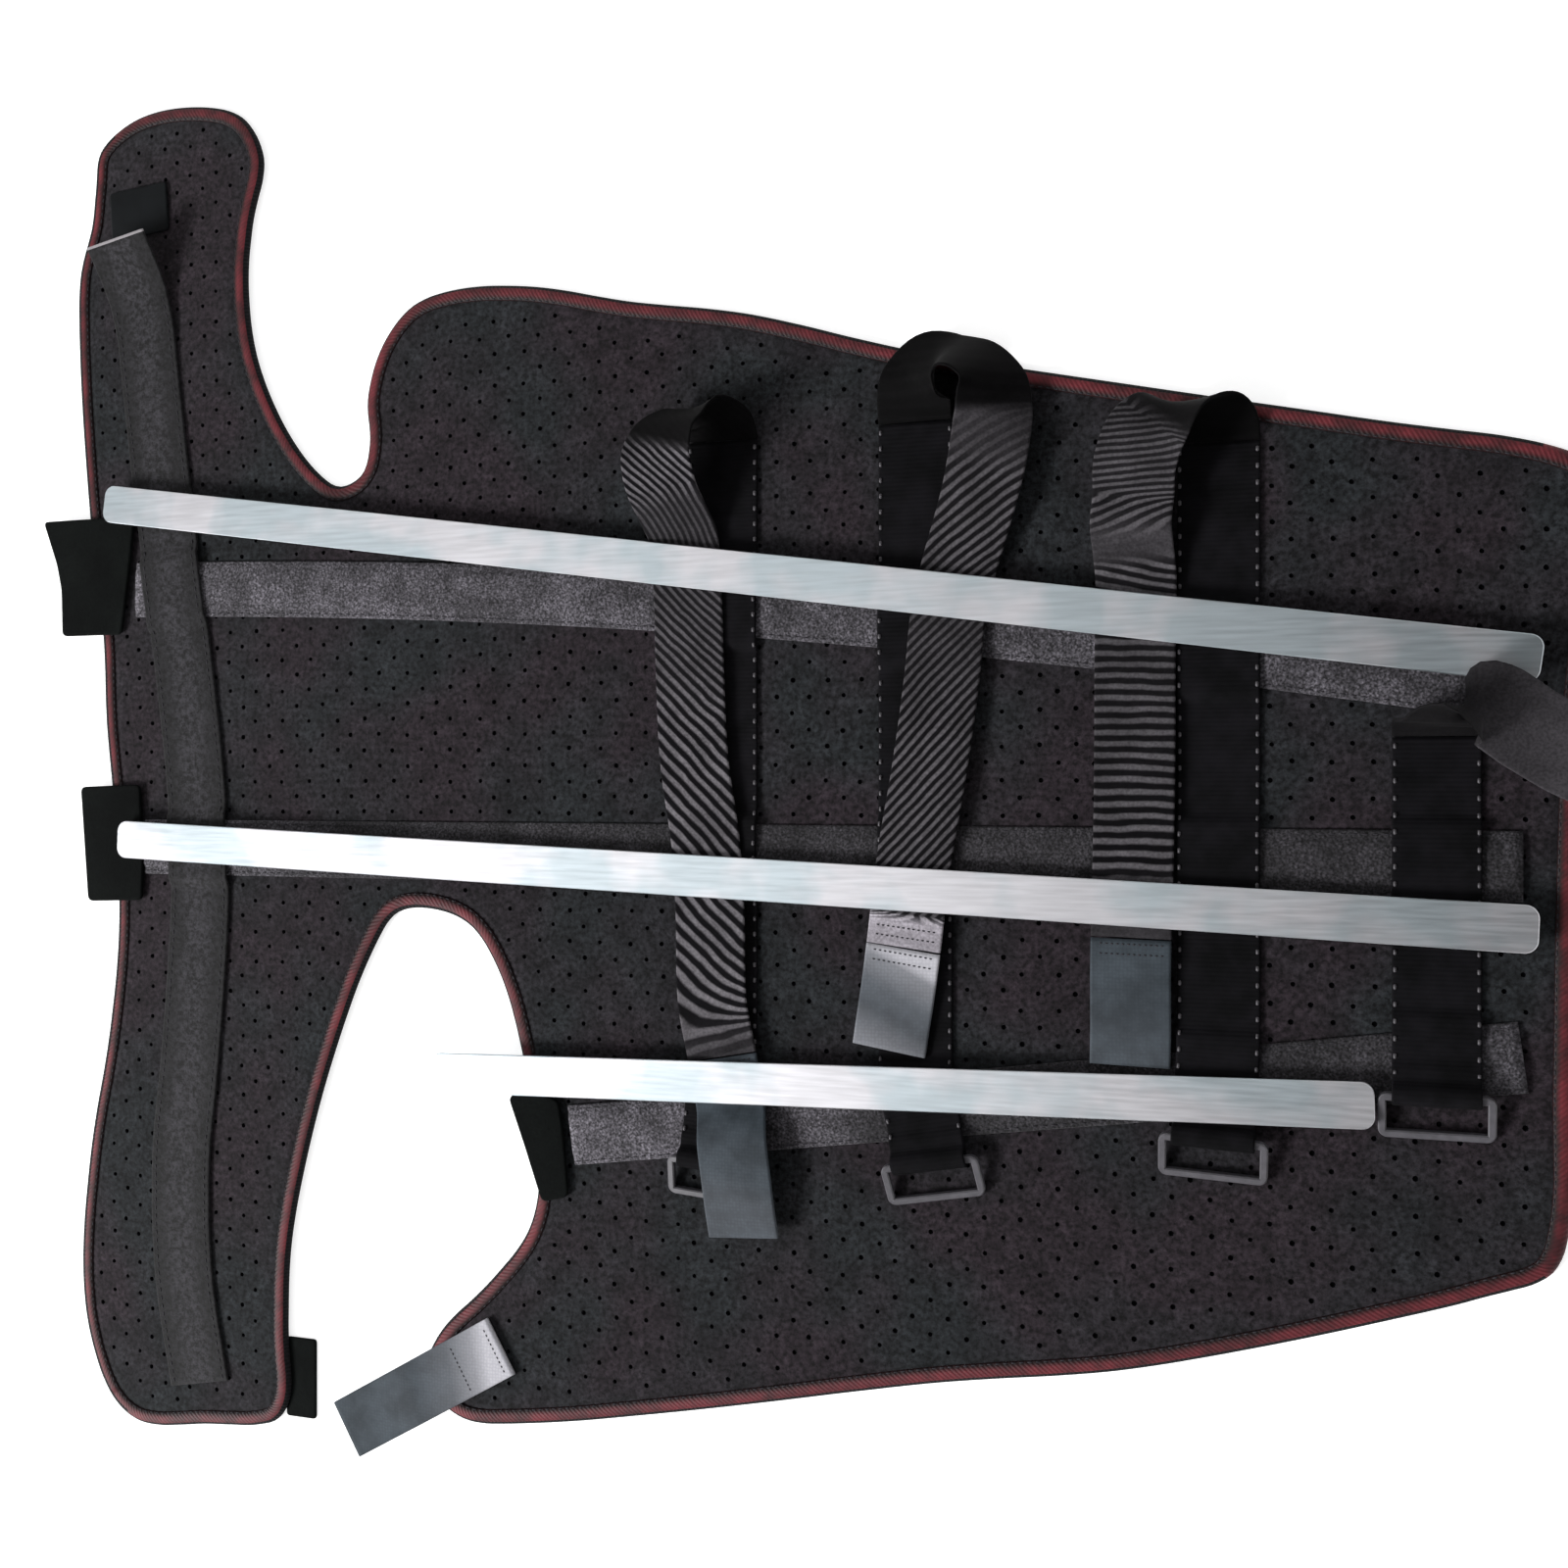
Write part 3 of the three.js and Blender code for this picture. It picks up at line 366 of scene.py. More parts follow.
def runs_of(name, width, thickness=None):
    """The sections of a swept CAD solid in order, as rows of middle and across. A
    section is known by its width edge, and by the twin of that edge one thickness away."""
    mesh = welded(name)
    rungs = [e for e in mesh.edges if abs(e.calc_length() / MM - width) < SAME_LENGTH]
    if thickness is None:
        rungs = [e for e in rungs if any(f.normal.z > 0.5 for f in e.link_faces)]
        twin = {rung: rung for rung in rungs}
    else:
        known = {frozenset(rung.verts): rung for rung in rungs}
        through = {
            v: [
                e.other_vert(v) for e in v.link_edges
                if abs(e.calc_length() / MM - thickness) < SAME_LENGTH
            ]
            for v in mesh.verts
        }
        twin = {}
        for rung in rungs:
            for a in through[rung.verts[0]]:
                for b in through[rung.verts[1]]:
                    if frozenset((a, b)) in known:
                        twin[rung] = known[frozenset((a, b))]
    section = {rung: min(rung.index, other.index) for rung, other in twin.items()}
    owner = {v: section[rung] for rung in twin for v in rung.verts}
    places, near = {}, {}
    for rung, other in twin.items():
        ends = [np.array(v.co[:]) / MM for v in (*rung.verts, *other.verts)]
        across = (ends[1] - ends[0]) / np.linalg.norm(ends[1] - ends[0])
        places[section[rung]] = np.concatenate([sum(ends) / 4, across])
        beside = {owner.get(e.other_vert(v)) for v in rung.verts for e in v.link_edges}
        near.setdefault(section[rung], set()).update(beside - {None, section[rung]})
    chain = [next(here for here, others in near.items() if len(others) == 1)]
    while len(chain) < len(places):
        chain.append(next(here for here in near[chain[-1]] if here not in chain))
    mesh.free()
    return np.array([places[here] for here in chain])


def faced(rows, up=(0, 0, 1)):
    """Turns each row's across to follow the one before it, so that the first row's up
    side looks along the given direction."""
    rows = rows.copy()
    heading = np.gradient(rows[:, :3], axis=0)
    if np.dot(np.cross(rows[0, 3:], heading[0]), up) < 0:
        rows[0, 3:] *= -1
    for i in range(1, len(rows)):
        if np.dot(rows[i, 3:], rows[i - 1, 3:]) < 0:
            rows[i, 3:] *= -1
    return rows


def from_end(rows, way):
    """The rows from the end that lies furthest that way, faced upwards."""
    away = np.dot(rows[0, :3] - rows[-1, :3], way) < 0
    return faced(rows[::-1] if away else rows)


def frames_of(rows):
    """Middle, across and up at each row, with across and up square to the run."""
    middle = rows[:, :3]
    heading = np.gradient(middle, axis=0)
    heading /= np.linalg.norm(heading, axis=1)[:, None]
    across = rows[:, 3:6] - heading * np.sum(rows[:, 3:6] * heading, axis=1)[:, None]
    across /= np.linalg.norm(across, axis=1)[:, None]
    return middle, across, np.cross(across, heading)


def along_edges(rows, reach, rise):
    """Runs of points along both sides of a tape, for its seams."""
    middle, across, up = frames_of(rows)
    return [middle + across * side * reach + up * rise for side in (-1, 1)]


def keep(piece, name, values):
    """Stores a vector for each point of a piece's mesh, for its material to read."""
    kept = piece.data.attributes.new(name, "FLOAT_VECTOR", "POINT")
    kept.data.foreach_set("vector", np.asarray(values, np.float32).ravel())


def swept(name, rows, section, materials, slot, *nodes, pattern_and_painted_light=None):
    """Carries a section of (across, up) points along rows. Each point keeps its place
    on the tape, across and along in millimetres, and the pattern and painted light found there."""
    middle, across, up = frames_of(rows)
    along = distances(middle)
    section = np.asarray(section, float)
    count, size = len(rows), len(section)
    points = (
        middle[:, None]
        + across[:, None] * section[None, :, :1]
        + up[:, None] * section[None, :, 1:]
    ).reshape(-1, 3)
    faces = []
    for i in range(count - 1):
        for j in range(size):
            a, b = i * size + j, i * size + (j + 1) % size
            faces.append((a, b, b + size, a + size))
    faces.append(tuple(reversed(range(size))))
    faces.append(tuple((count - 1) * size + j for j in range(size)))
    piece = add_piece(name, points, faces, materials, slot, *nodes)
    across, along_all = np.broadcast_arrays(section[None, :, 0], along[:, None])
    keep(piece, "on_tape", np.stack([across, along_all, 0 * across], axis=2))
    if pattern_and_painted_light is not None:
        keep(piece, "pattern_and_painted_light", np.stack(pattern_and_painted_light(along_all, across), axis=2))
    return piece, along


def along_it(rows, slant=0.0):
    """Reads rows of place and share along a tape, slanted by a share of the across."""
    at, share = (np.array(column, float) for column in zip(*rows))

    def pattern_and_painted_light(along, across):
        return np.interp(along + across * slant, at, share), 0 * along, 0 * along

    return pattern_and_painted_light


def sewn(name, runs, pitch, girth, material, slot, shown=0.66):
    """A row of stitches along each run of points, one bead of thread every pitch that
    shows for a share of it."""
    points, faces = [], []
    turns = [(math.cos(math.tau * k / 5), math.sin(math.tau * k / 5)) for k in range(5)]
    for run in runs:
        run = np.asarray(run, float)
        at = distances(run)
        for place in np.arange(pitch / 2, at[-1], pitch):
            back, on = (
                np.array([np.interp(place + reach, at, column) for column in run.T])
                for reach in (-pitch * shown / 2, pitch * shown / 2)
            )
            heading = (on - back) / np.linalg.norm(on - back)
            side = np.cross((0, 0, 1), heading)
            up = np.cross(heading, side)
            start = len(points)
            points.append(back - up * girth / 3)
            for share in (0.22, 0.78):
                middle = back * (1 - share) + on * share
                points += [middle + (side * c + up * s) * girth / 2 for c, s in turns]
            points.append(on - up * girth / 3)
            for k in range(5):
                a, b = start + 1 + k, start + 1 + (k + 1) % 5
                faces += [(start, b, a), (a, b, b + 5, a + 5), (start + 11, a + 5, b + 5)]
    return add_piece(name, points, faces, [material], slot)


half, inner = SLEEVE_WIDTH / 2, SLEEVE_WIDTH / 2 - SLEEVE_SEAM
sleeve_section = [
    (-half, 0), (-inner, 0.05), (-inner + 0.6, 0.7), (0, 0.75), (inner - 0.6, 0.7), (inner, 0.05),
    (half, 0), (half, 0.5), (half - 0.5, 0.95), (half - 1.5, 1.05), (inner + 0.4, 1.0),
    (inner - 0.6, 1.35), (inner - 2.2, 1.68), (inner * 0.5, 1.72), (0, 1.72), (-inner * 0.5, 1.72),
    (-inner + 2.2, 1.68), (-inner + 0.6, 1.35), (-inner - 0.4, 1.0), (-half + 1.5, 1.05),
    (-half + 0.5, 0.95), (-half, 0.5),
]

# Fuzzy knitted polyester tape: loops of 1.6 mm that catch the light one by one, so the
# tape reads as a salt and pepper speckle
knit, tree, place, surface = new_material("knitted loop tape, brushed")
loops = add_node(tree, "TexVoronoi", {"Vector": place, "Scale": 1000 / 1.6, "Randomness": 1.0})
patch = mottled(tree, place, 14, (0.35, 0.65), (0.6, 1.3), Detail=3)
parts = stored(tree, "pattern_and_painted_light")
patch = add_node(tree, "Math", {0: patch, 1: parts["X"]}, operation="MULTIPLY")
grain = mottled(tree, place, 0.9, (0.35, 0.68), (0.2, 1.5), Detail=2)
shade = add_node(tree, "Math", {0: patch.outputs[0], 1: grain}, operation="MULTIPLY")
yarn = add_node(
    tree, "Mix",
    {0: loops.outputs["Distance"], 6: linear("#57545a"), 7: linear("#29272b")}, data_type="RGBA",
)
colour = add_node(tree, "VectorMath", {
    0: yarn.outputs[2], 1: shade.outputs[0],
}, operation="MULTIPLY")
relief = add_node(tree, "Bump", {
    "Height": loops.outputs["Distance"], "Strength": 0.7, "Distance": 0.5 * MM,
})
relief.invert = True
cloth = add_node(tree, "BsdfPrincipled", {
    "Base Color": colour.outputs[0], "Roughness": 0.85, "Normal": relief.outputs[0],
    "Sheen Weight": 0.06, "Sheen Roughness": 0.5, "Specular IOR Level": 0.2,
})
tree.links.new(cloth.outputs[0], surface)


def thread_material(name, ply, dark, pale, **inputs):
    """Plied sewing thread, whose plies show as a fine twist in two tones."""
    material, tree, place, surface = new_material(name)
    twist = add_node(tree, "TexNoise", {"Vector": place, "Scale": 1000 / ply, "Detail": 1})
    tone = add_node(
        tree, "Mix", {0: twist.outputs["Fac"], 6: linear(dark), 7: linear(pale)},
        data_type="RGBA",
    )
    strand = add_node(tree, "BsdfPrincipled", {"Base Color": tone.outputs[2], **inputs})
    tree.links.new(strand.outputs[0], surface)
    return material


# Spun polyester sewing thread: two plies that show as a fine twist, with no gloss
black_thread = thread_material(
    "spun polyester sewing thread, black", 0.6, "#151417", "#323035", Roughness=0.8,
    **{"Specular IOR Level": 0.2},
)

for name in ("upper", "middle", "lower"):
    rows = from_end(runs_of(f"stay_pocket_{name}", 2 * inner), (-1, 0, 0))
    rows[:, 2] -= SLEEVE_TOP
    rows = eased(rows, SLEEVE_STEP)
    sleeve, along = swept(
        f"stay_sleeve_{name}", rows, sleeve_section, [knit], "knit_tape", f"stay_pocket_{name}",
        pattern_and_painted_light=along_it(SLEEVE_LIGHTNESS[name]),
    )
    seams = along_edges(rows, inner + SLEEVE_SEAM_OUT, SLEEVE_SEAM_UP)
    seam = sewn(f"sleeve_seam_{name}", seams, SEAM_PITCH, SEAM_GIRTH, black_thread, "knit_tape")

# The binding: red elastic tape folded over the cut edge, with shade painted black along its
# rolled rim, and chain stitched along its inner edge
BINDING_TOP = [
    (7.2, 3.75), (6.8, 4.3), (5.8, 4.68), (4.4, 4.85), (3.0, 4.8), (2.1, 4.6), (1.6, 4.35),
]
BINDING_RIM = [(1.0, 4.0), (0.35, 3.2), (0.0, 2.3), (0.35, 1.3), (1.0, 0.5)]
BINDING_BACK = [(1.7, 0.1), (3, 0), (6.4, 0), (7.2, 0.4), (6.6, 1.1), (2.2, 1.1), (1.5, 1.7)]
BINDING_INSIDE = [(1.4, 2.3), (1.5, 2.9), (2.2, 3.5), (6.6, 3.5)]
CHAIN_INSET, CHAIN_HEIGHT, CHAIN_PITCH = 6.6, 4.4, 3.4
THREAD_GIRTH = 0.6
# The rim's black painted shade reaches up to here along x; left of the second place, where
# the edge faces the left, the painted shade also covers most of the roll
PAINTED_RIM_SHADE_END, WIDE_PAINTED_SHADE_END = 285, -335
section = BINDING_TOP + BINDING_RIM + BINDING_BACK + BINDING_INSIDE
size = len(section)
points, on_tape = [], []
lengths = np.linalg.norm(np.roll(outline, -1, axis=0) - outline, axis=1)
along = np.concatenate([[0], np.cumsum(lengths)[:-1]])
for k in range(around):
    for inset, height in section:
        x, y = outline[k] + outline_in[k] * inset
        points.append((x, y, height))
        on_tape.append((inset, along[k], height))
faces, pattern_and_painted_light = [], []
rim_shade_strips = range(len(BINDING_TOP) - 1, len(BINDING_TOP) + len(BINDING_RIM))
wide_shade_strips = range(len(BINDING_TOP) - 3, len(BINDING_TOP) - 1)
for k in range(around):
    ahead = (k + 1) % around
    # Faces that take the black painted shade: the rim, and more of the roll where the edge faces
    # left
    crimson = outline[k, 0] > PAINTED_RIM_SHADE_END
    wide = outline[k, 0] < WIDE_PAINTED_SHADE_END and outline_in[k, 0] > 0.5
    for j in range(size):
        b = (j + 1) % size
        faces.append((k * size + j, k * size + b, ahead * size + b, ahead * size + j))
        black = j in rim_shade_strips or (wide and j in wide_shade_strips)
        pattern_and_painted_light.append(1 if black and not crimson else 0)

# Red elastic tape: nylon over rubber, woven with a diagonal rib of 2 mm that shows as fine
# bars, and a soft gloss along the roll. Painted shade darkens it towards its inner edge.
binding_cloth, tree, place, surface = new_material("woven elastic tape, red")
parts = stored(tree, "on_tape")
slant = add_node(tree, "Math", {0: parts["X"], 1: 0.9, 2: parts["Y"]}, operation="MULTIPLY_ADD")
rib = wave(tree, slant.outputs[0], 2.1)
worn = mottled(tree, place, 12, (0.35, 0.65), Detail=4, Roughness=0.65)
red = add_node(
    tree, "Mix", {0: worn, 6: linear("#301114"), 7: linear("#561c22")}, data_type="RGBA",
)
# Painted shade and highlight across the roll: darkest at the inner edge, lightest near the rim
roll = add_node(tree, "MapRange", {
    "Value": parts["X"], "From Min": 6.1, "From Max": 4.3, "To Min": 0.12, "To Max": 1.1,
})
bars = add_node(tree, "MapRange", {
    "Value": rib, "From Min": -1, "From Max": 1, "To Min": 0.84, "To Max": 1.1,
})
shade = add_node(
    tree, "Math", {0: roll.outputs["Result"], 1: bars.outputs["Result"]}, operation="MULTIPLY",
)
colour = add_node(tree, "VectorMath", {
    0: red.outputs[2], 1: shade.outputs[0],
}, operation="MULTIPLY")
relief = add_node(tree, "Bump", {"Height": rib, "Strength": 0.3, "Distance": 0.2 * MM})
cloth = add_node(tree, "BsdfPrincipled", {
    "Base Color": colour.outputs[0], "Roughness": 0.62, "Normal": relief.outputs[0],
    "Sheen Weight": 0.03, "Sheen Roughness": 0.4, "Sheen Tint": linear("#b06068"),
    "Specular IOR Level": 0.2,
})
tree.links.new(cloth.outputs[0], surface)

# Black painted shade on the rolled rim, drawn as tightly wound polyester thread, coarser
# than real, 1.8 mm to a turn
painted_rim_shade_cloth, tree, _, surface = new_material("black painted shade on the binding's rolled rim")
parts = stored(tree, "on_tape")
turn = wave(tree, parts["Y"], 1.8)
thread = add_node(tree, "MapRange", {"Value": turn, "From Min": -1, "From Max": 1})
black = add_node(
    tree, "Mix",
    {0: thread.outputs["Result"], 6: linear("#060607"), 7: linear("#151316")}, data_type="RGBA",
)
relief = add_node(tree, "Bump", {"Height": turn, "Strength": 0.5, "Distance": 0.2 * MM})
cloth = add_node(tree, "BsdfPrincipled", {
    "Base Color": black.outputs[2], "Roughness": 0.8, "Normal": relief.outputs[0],
    "Specular IOR Level": 0.15,
})
tree.links.new(cloth.outputs[0], surface)

binding = add_piece(
    "edge_tape", points, faces, [binding_cloth, painted_rim_shade_cloth], "binding_tape", "edge_binding",
)
binding.data.polygons.foreach_set("material_index", pattern_and_painted_light)
keep(binding, "on_tape", on_tape)
chain = np.column_stack([outline + outline_in * CHAIN_INSET, np.full(around, CHAIN_HEIGHT)])
edge_seam = sewn(
    "edge_chain_stitch", [np.vstack([chain, chain[:1]])], CHAIN_PITCH, THREAD_GIRTH,
    black_thread, "binding_tape",
)

# The sleeve flaps: black cloth cut by hand, one at each sleeve's open end. Each lies
# over the binding, reaches past the sheet's edge and is sewn down on the sleeve.
FLAP_THICKNESS = 1.8
FLAP_CORNER = 3
flap_cloth, tree, place, surface = new_material("black polyester cloth, plain woven")
weave = add_node(tree, "TexNoise", {"Vector": place, "Scale": 1000 / 1.2, "Detail": 2})
fold = add_node(tree, "TexNoise", {"Vector": place, "Scale": 1000 / 22, "Detail": 2})
tone = add_node(
    tree, "Math", {0: weave.outputs["Fac"], 1: fold.outputs["Fac"]}, operation="MULTIPLY",
)
tone = add_node(tree, "MapRange", {"Value": tone.outputs[0], "From Min": 0.12, "From Max": 0.4})
black = add_node(
    tree, "Mix",
    {0: tone.outputs["Result"], 6: linear("#040505"), 7: linear("#0a0d0c")}, data_type="RGBA",
)
relief = add_node(tree, "Bump", {
    "Height": weave.outputs["Fac"], "Strength": 0.4, "Distance": 0.3 * MM,
})
cloth = add_node(tree, "BsdfPrincipled", {
    "Base Color": black.outputs[2], "Roughness": 0.92, "Normal": relief.outputs[0],
    "Specular IOR Level": 0.06,
})
tree.links.new(cloth.outputs[0], surface)


def top_outline(name):
    """The edge of a plate's upper face, counter-clockwise, with its height."""
    mesh = welded(name)
    height = max(v.co.z for v in mesh.verts)
    upper = {
        f for f in mesh.faces
        if f.normal.z > 0.9 and f.calc_center_median().z > height - 0.1 * MM
    }
    edge = loops_of([e for e in mesh.edges if len(upper.intersection(e.link_faces)) == 1])[0]
    mesh.free()
    return (edge if area_of(edge) > 0 else edge[::-1]), height / MM


def rounded(loop, radius):
    """A polygon with each corner cut back to a short curve."""
    made = []
    for before, here, ahead in zip(np.roll(loop, 1, axis=0), loop, np.roll(loop, -1, axis=0)):
        back, on = before - here, ahead - here
        reach = min(radius, np.linalg.norm(back) * 0.45, np.linalg.norm(on) * 0.45)
        a = here + back / np.linalg.norm(back) * reach
        b = here + on / np.linalg.norm(on) * reach
        for t in (0, 0.25, 0.5, 0.75, 1):
            made.append(a * (1 - t) ** 2 + here * 2 * t * (1 - t) + b * t**2)
    return np.array(made)


def soft_plate(name, loop, bottom, thickness, material, slot, *nodes):
    """A flat cloth piece with turned, rounded edges."""
    into = inward(loop)
    # inset in millimetres, height as a share of the thickness
    steps = [(0.8, 0), (0.2, 0.15), (0, 0.5), (0.15, 0.82), (0.5, 1), (1.2, 1.05)]
    points, count = [], len(loop)
    for inset, share in steps:
        ring = loop + into * inset
        points += [(x, y, bottom + thickness * share) for x, y in ring]
    faces = []
    for s in range(len(steps) - 1):
        for k in range(count):
            a, b = s * count + k, s * count + (k + 1) % count
            faces.append((a, b, b + count, a + count))
    last = (len(steps) - 1) * count
    faces.append(tuple(reversed(range(count))))
    faces.append(tuple(last + k for k in range(count)))
    return add_piece(name, points, faces, [material], slot, *nodes)


for name in ("upper", "middle", "lower"):
    loop, top = top_outline(f"pocket_flap_{name}")
    loop = rounded(loop[:, :2], FLAP_CORNER)
    flap = soft_plate(
        f"sleeve_flap_{name}", loop, top - FLAP_THICKNESS, FLAP_THICKNESS, flap_cloth,
        "flap_cloth", f"pocket_flap_{name}",
    )
    area_of(loop) * MM**2

# The band's closure: a long loop tape down the hip band with its top end lifted, a hook
# pad above it, and a small hook tab at the band's lower right edge.
STRIP_WIDTH, STRIP_THICKNESS = 34, 1.3
STRIP_STEP = 2.5
STRIP_LIFT, STRIP_LIFT_ROWS = 5, 12
STRIP_SEAM_REACH, STRIP_SEAM_UP = 14.2, 0.7
PATCH_CORNER = 2
TAB_TUCK = 3.6
# How much painted shadow darkens the band's hook pad, as a share of its colour
PAD_PAINTED_SHADOW = 0.9


def tape_section(width, thickness, bulge=0.0):
    """A flat tape with woven, rounded edges. Bulge lifts its middle."""
    half, deep = width / 2, thickness / 2
    side = [(half - deep * (1 - math.sin(a)), -deep * math.cos(a)) for a in
            (math.pi * k / 5 for k in range(6))]
    flats = [0.92, 0.75, 0.4, 0, -0.4, -0.75, -0.92]
    top = [(half * s, deep + bulge * (1 - s * s)) for s in flats]
    other = [(-x, -y) for x, y in side]
    under = [(-half * s, -deep + bulge * (1 - s * s)) for s in flats]
    return side + top + other + under


# Brushed loop tape: a dense dark pile, drawn paler down the middle and darker towards its
# edges, with a thin pale line along its heat cut end
pile, tree, place, surface = new_material("brushed nylon loop tape, dark")
parts = stored(tree, "on_tape")
bent = mottled(tree, place, 30, (0, 1), (-5, 5), Detail=2)
off = add_node(tree, "Math", {0: parts["X"], 1: bent}, operation="ADD")
off = add_node(tree, "Math", {0: off.outputs[0]}, operation="ABSOLUTE")
flat = add_node(tree, "MapRange", {
    "Value": off.outputs[0], "From Min": 3, "From Max": 13, "To Min": 1.25, "To Max": 0.45,
}, interpolation_type="SMOOTHSTEP")
tuft = add_node(tree, "TexNoise", {
    "Vector": place, "Scale": 1000 / 2.2, "Detail": 3, "Roughness": 0.7,
})
fuzz = add_node(tree, "MapRange", {
    "Value": tuft.outputs["Fac"], "From Min": 0.38, "From Max": 0.66, "To Min": 0.1, "To Max": 1.9,
})
shade = add_node(
    tree, "Math", {0: flat.outputs["Result"], 1: fuzz.outputs["Result"]}, operation="MULTIPLY",
)
cloth_dark = add_node(tree, "VectorMath", {
    0: linear("#1c1b1e")[:3], 1: shade.outputs[0],
}, operation="MULTIPLY")
end = add_node(tree, "Math", {0: parts["Y"], 1: 1.2}, operation="LESS_THAN")
colour = add_node(
    tree, "Mix",
    {0: end.outputs[0], 6: cloth_dark.outputs[0], 7: linear("#8d898c")}, data_type="RGBA",
)
relief = add_node(tree, "Bump", {
    "Height": tuft.outputs["Fac"], "Strength": 0.6, "Distance": 0.5 * MM,
})
cloth = add_node(tree, "BsdfPrincipled", {
    "Base Color": colour.outputs[2], "Roughness": 0.85, "Normal": relief.outputs[0],
    "Sheen Weight": 0.05, "Sheen Roughness": 0.5, "Specular IOR Level": 0.2,
})
tree.links.new(cloth.outputs[0], surface)

rows = from_end(runs_of("band_strip", STRIP_WIDTH, STRIP_THICKNESS), (0, 1, 0))
rows = eased(rows, STRIP_STEP)
rows[:STRIP_LIFT_ROWS, 2] += np.linspace(STRIP_LIFT, 0, STRIP_LIFT_ROWS)
strip, along = swept(
    "band_loop_tape", rows, tape_section(STRIP_WIDTH, STRIP_THICKNESS), [pile], "knit_tape",
    "band_strip",
)
seams = along_edges(rows[STRIP_LIFT_ROWS:], STRIP_SEAM_REACH, STRIP_SEAM_UP)
seam = sewn("band_tape_seam", seams, SEAM_PITCH, SEAM_GIRTH, black_thread, "knit_tape")

# Hook tape: moulded nylon hooks in rows 1.5 mm apart on a woven back. A painted sheen turns it
# from slate to silver where a length of it bends to face the light; painted shadow darkens the pad.
hook_tape, tree, place, surface = new_material("moulded nylon hook tape")
parts = stored(tree, "pattern_and_painted_light")
hooks = add_node(tree, "TexVoronoi", {"Vector": place, "Scale": 1000 / 1.5, "Randomness": 0.35})
tone = mottled(tree, place, 16, (0.35, 0.65), Detail=3, Roughness=0.6)
slate = add_node(
    tree, "Mix", {0: tone, 6: linear("#262c31"), 7: linear("#363d43")}, data_type="RGBA",
)
# Painted sheen: X mixes the slate towards silver
slate = add_node(
    tree, "Mix", {0: parts["X"], 6: slate.outputs[2], 7: linear("#a3a2a8")},
    data_type="RGBA",
)
dots = add_node(tree, "MapRange", {
    "Value": hooks.outputs["Distance"], "From Min": 0.1, "From Max": 0.6,
    "To Min": 1.06, "To Max": 0.88,
})
# Painted shadow: Y darkens the colour by its share; the strap ends and tab keep it at nought
light_left_by_painted_shadow = add_node(tree, "Math", {0: 1, 1: parts["Y"]}, operation="SUBTRACT")
shade = add_node(
    tree, "Math", {0: dots.outputs["Result"], 1: light_left_by_painted_shadow.outputs[0]}, operation="MULTIPLY",
)
colour = add_node(tree, "VectorMath", {
    0: slate.outputs[2], 1: shade.outputs[0],
}, operation="MULTIPLY")
relief = add_node(tree, "Bump", {
    "Height": hooks.outputs["Distance"], "Strength": 0.15, "Distance": 0.2 * MM,
})
relief.invert = True
cloth = add_node(tree, "BsdfPrincipled", {
    "Base Color": colour.outputs[0], "Roughness": 0.7, "Normal": relief.outputs[0],
    "Specular IOR Level": 0.08,
})
tree.links.new(cloth.outputs[0], surface)

for name, title, material, slot, thickness in (
    ("band_hook_pad", "band_hook_patch", hook_tape, "hook_tape", 1.2),
    ("band_hook_tab", "band_side_tab", flap_cloth, "flap_cloth", 1.6),
):
    loop, top = top_outline(name)
    loop = rounded(loop[:, :2], PATCH_CORNER)
    if name == "band_hook_tab":
        loop[loop[:, 0] < loop[:, 0].mean(), 0] -= TAB_TUCK
    patch = soft_plate(title, loop, top - thickness, thickness, material, slot, name)
    # The hook pad is darkened by painted shadow; the tab's cloth does not read it
    keep(patch, "pattern_and_painted_light", [(0, PAD_PAINTED_SHADOW, 0)] * len(patch.data.vertices))

# The strap bases: smooth black webbing sewn down along both edges with a long ladder
# stitch, each folded under and round the bar of its ring at the lower end
WEBBING_WIDTH, WEBBING_THICKNESS = 32, 1.3
LADDER_PITCH, LADDER_GIRTH, LADDER_REACH = 6.6, 1.3, 14.9
# The ladder stops this many rows short of the fold that holds the ring
EYE_ROWS = 8
BASE_STEP = 1.5

# Plain woven nylon webbing, black: its picks are drawn coarser, 1.8 mm apart, and it is
# so dark that only its edges and stitches show
plain_webbing, tree, place, surface = new_material("plain woven nylon webbing, black")
parts = stored(tree, "on_tape")
pick = wave(tree, parts["Y"], 1.8)
worn = mottled(tree, place, 14, (0.35, 0.65), Detail=3, Roughness=0.6)
black = add_node(
    tree, "Mix", {0: worn, 6: linear("#050506"), 7: linear("#0e0d10")}, data_type="RGBA",
)
relief = add_node(tree, "Bump", {"Height": pick, "Strength": 0.2, "Distance": 0.2 * MM})
cloth = add_node(tree, "BsdfPrincipled", {
    "Base Color": black.outputs[2], "Roughness": 0.85, "Normal": relief.outputs[0],
    "Specular IOR Level": 0.06,
})
tree.links.new(cloth.outputs[0], surface)

# Bonded nylon thread, grey: thick enough to stand off the webbing as pale dots
ladder_thread = thread_material(
    "bonded nylon sewing thread, grey", 0.8, "#242226", "#4a474b", Roughness=0.6,
)

for number in range(1, 5):
    rows = runs_of(f"strap_base_{number}", WEBBING_WIDTH, WEBBING_THICKNESS)
    rows = eased(from_end(rows, (0, 1, 0)), BASE_STEP)
    base, along = swept(
        f"sewn_webbing_{number}", rows, tape_section(WEBBING_WIDTH, WEBBING_THICKNESS),
        [plain_webbing], "webbing", f"strap_base_{number}",
    )
    laid = np.arange(len(rows)) < np.argmin(rows[:, 1]) - EYE_ROWS
    ladders = [run[laid] for run in along_edges(rows, LADDER_REACH, WEBBING_THICKNESS / 2)]
    ladder = sewn(
        f"base_ladder_stitch_{number}", ladders, LADDER_PITCH, LADDER_GIRTH, ladder_thread,
        "webbing", shown=0.4,
    )
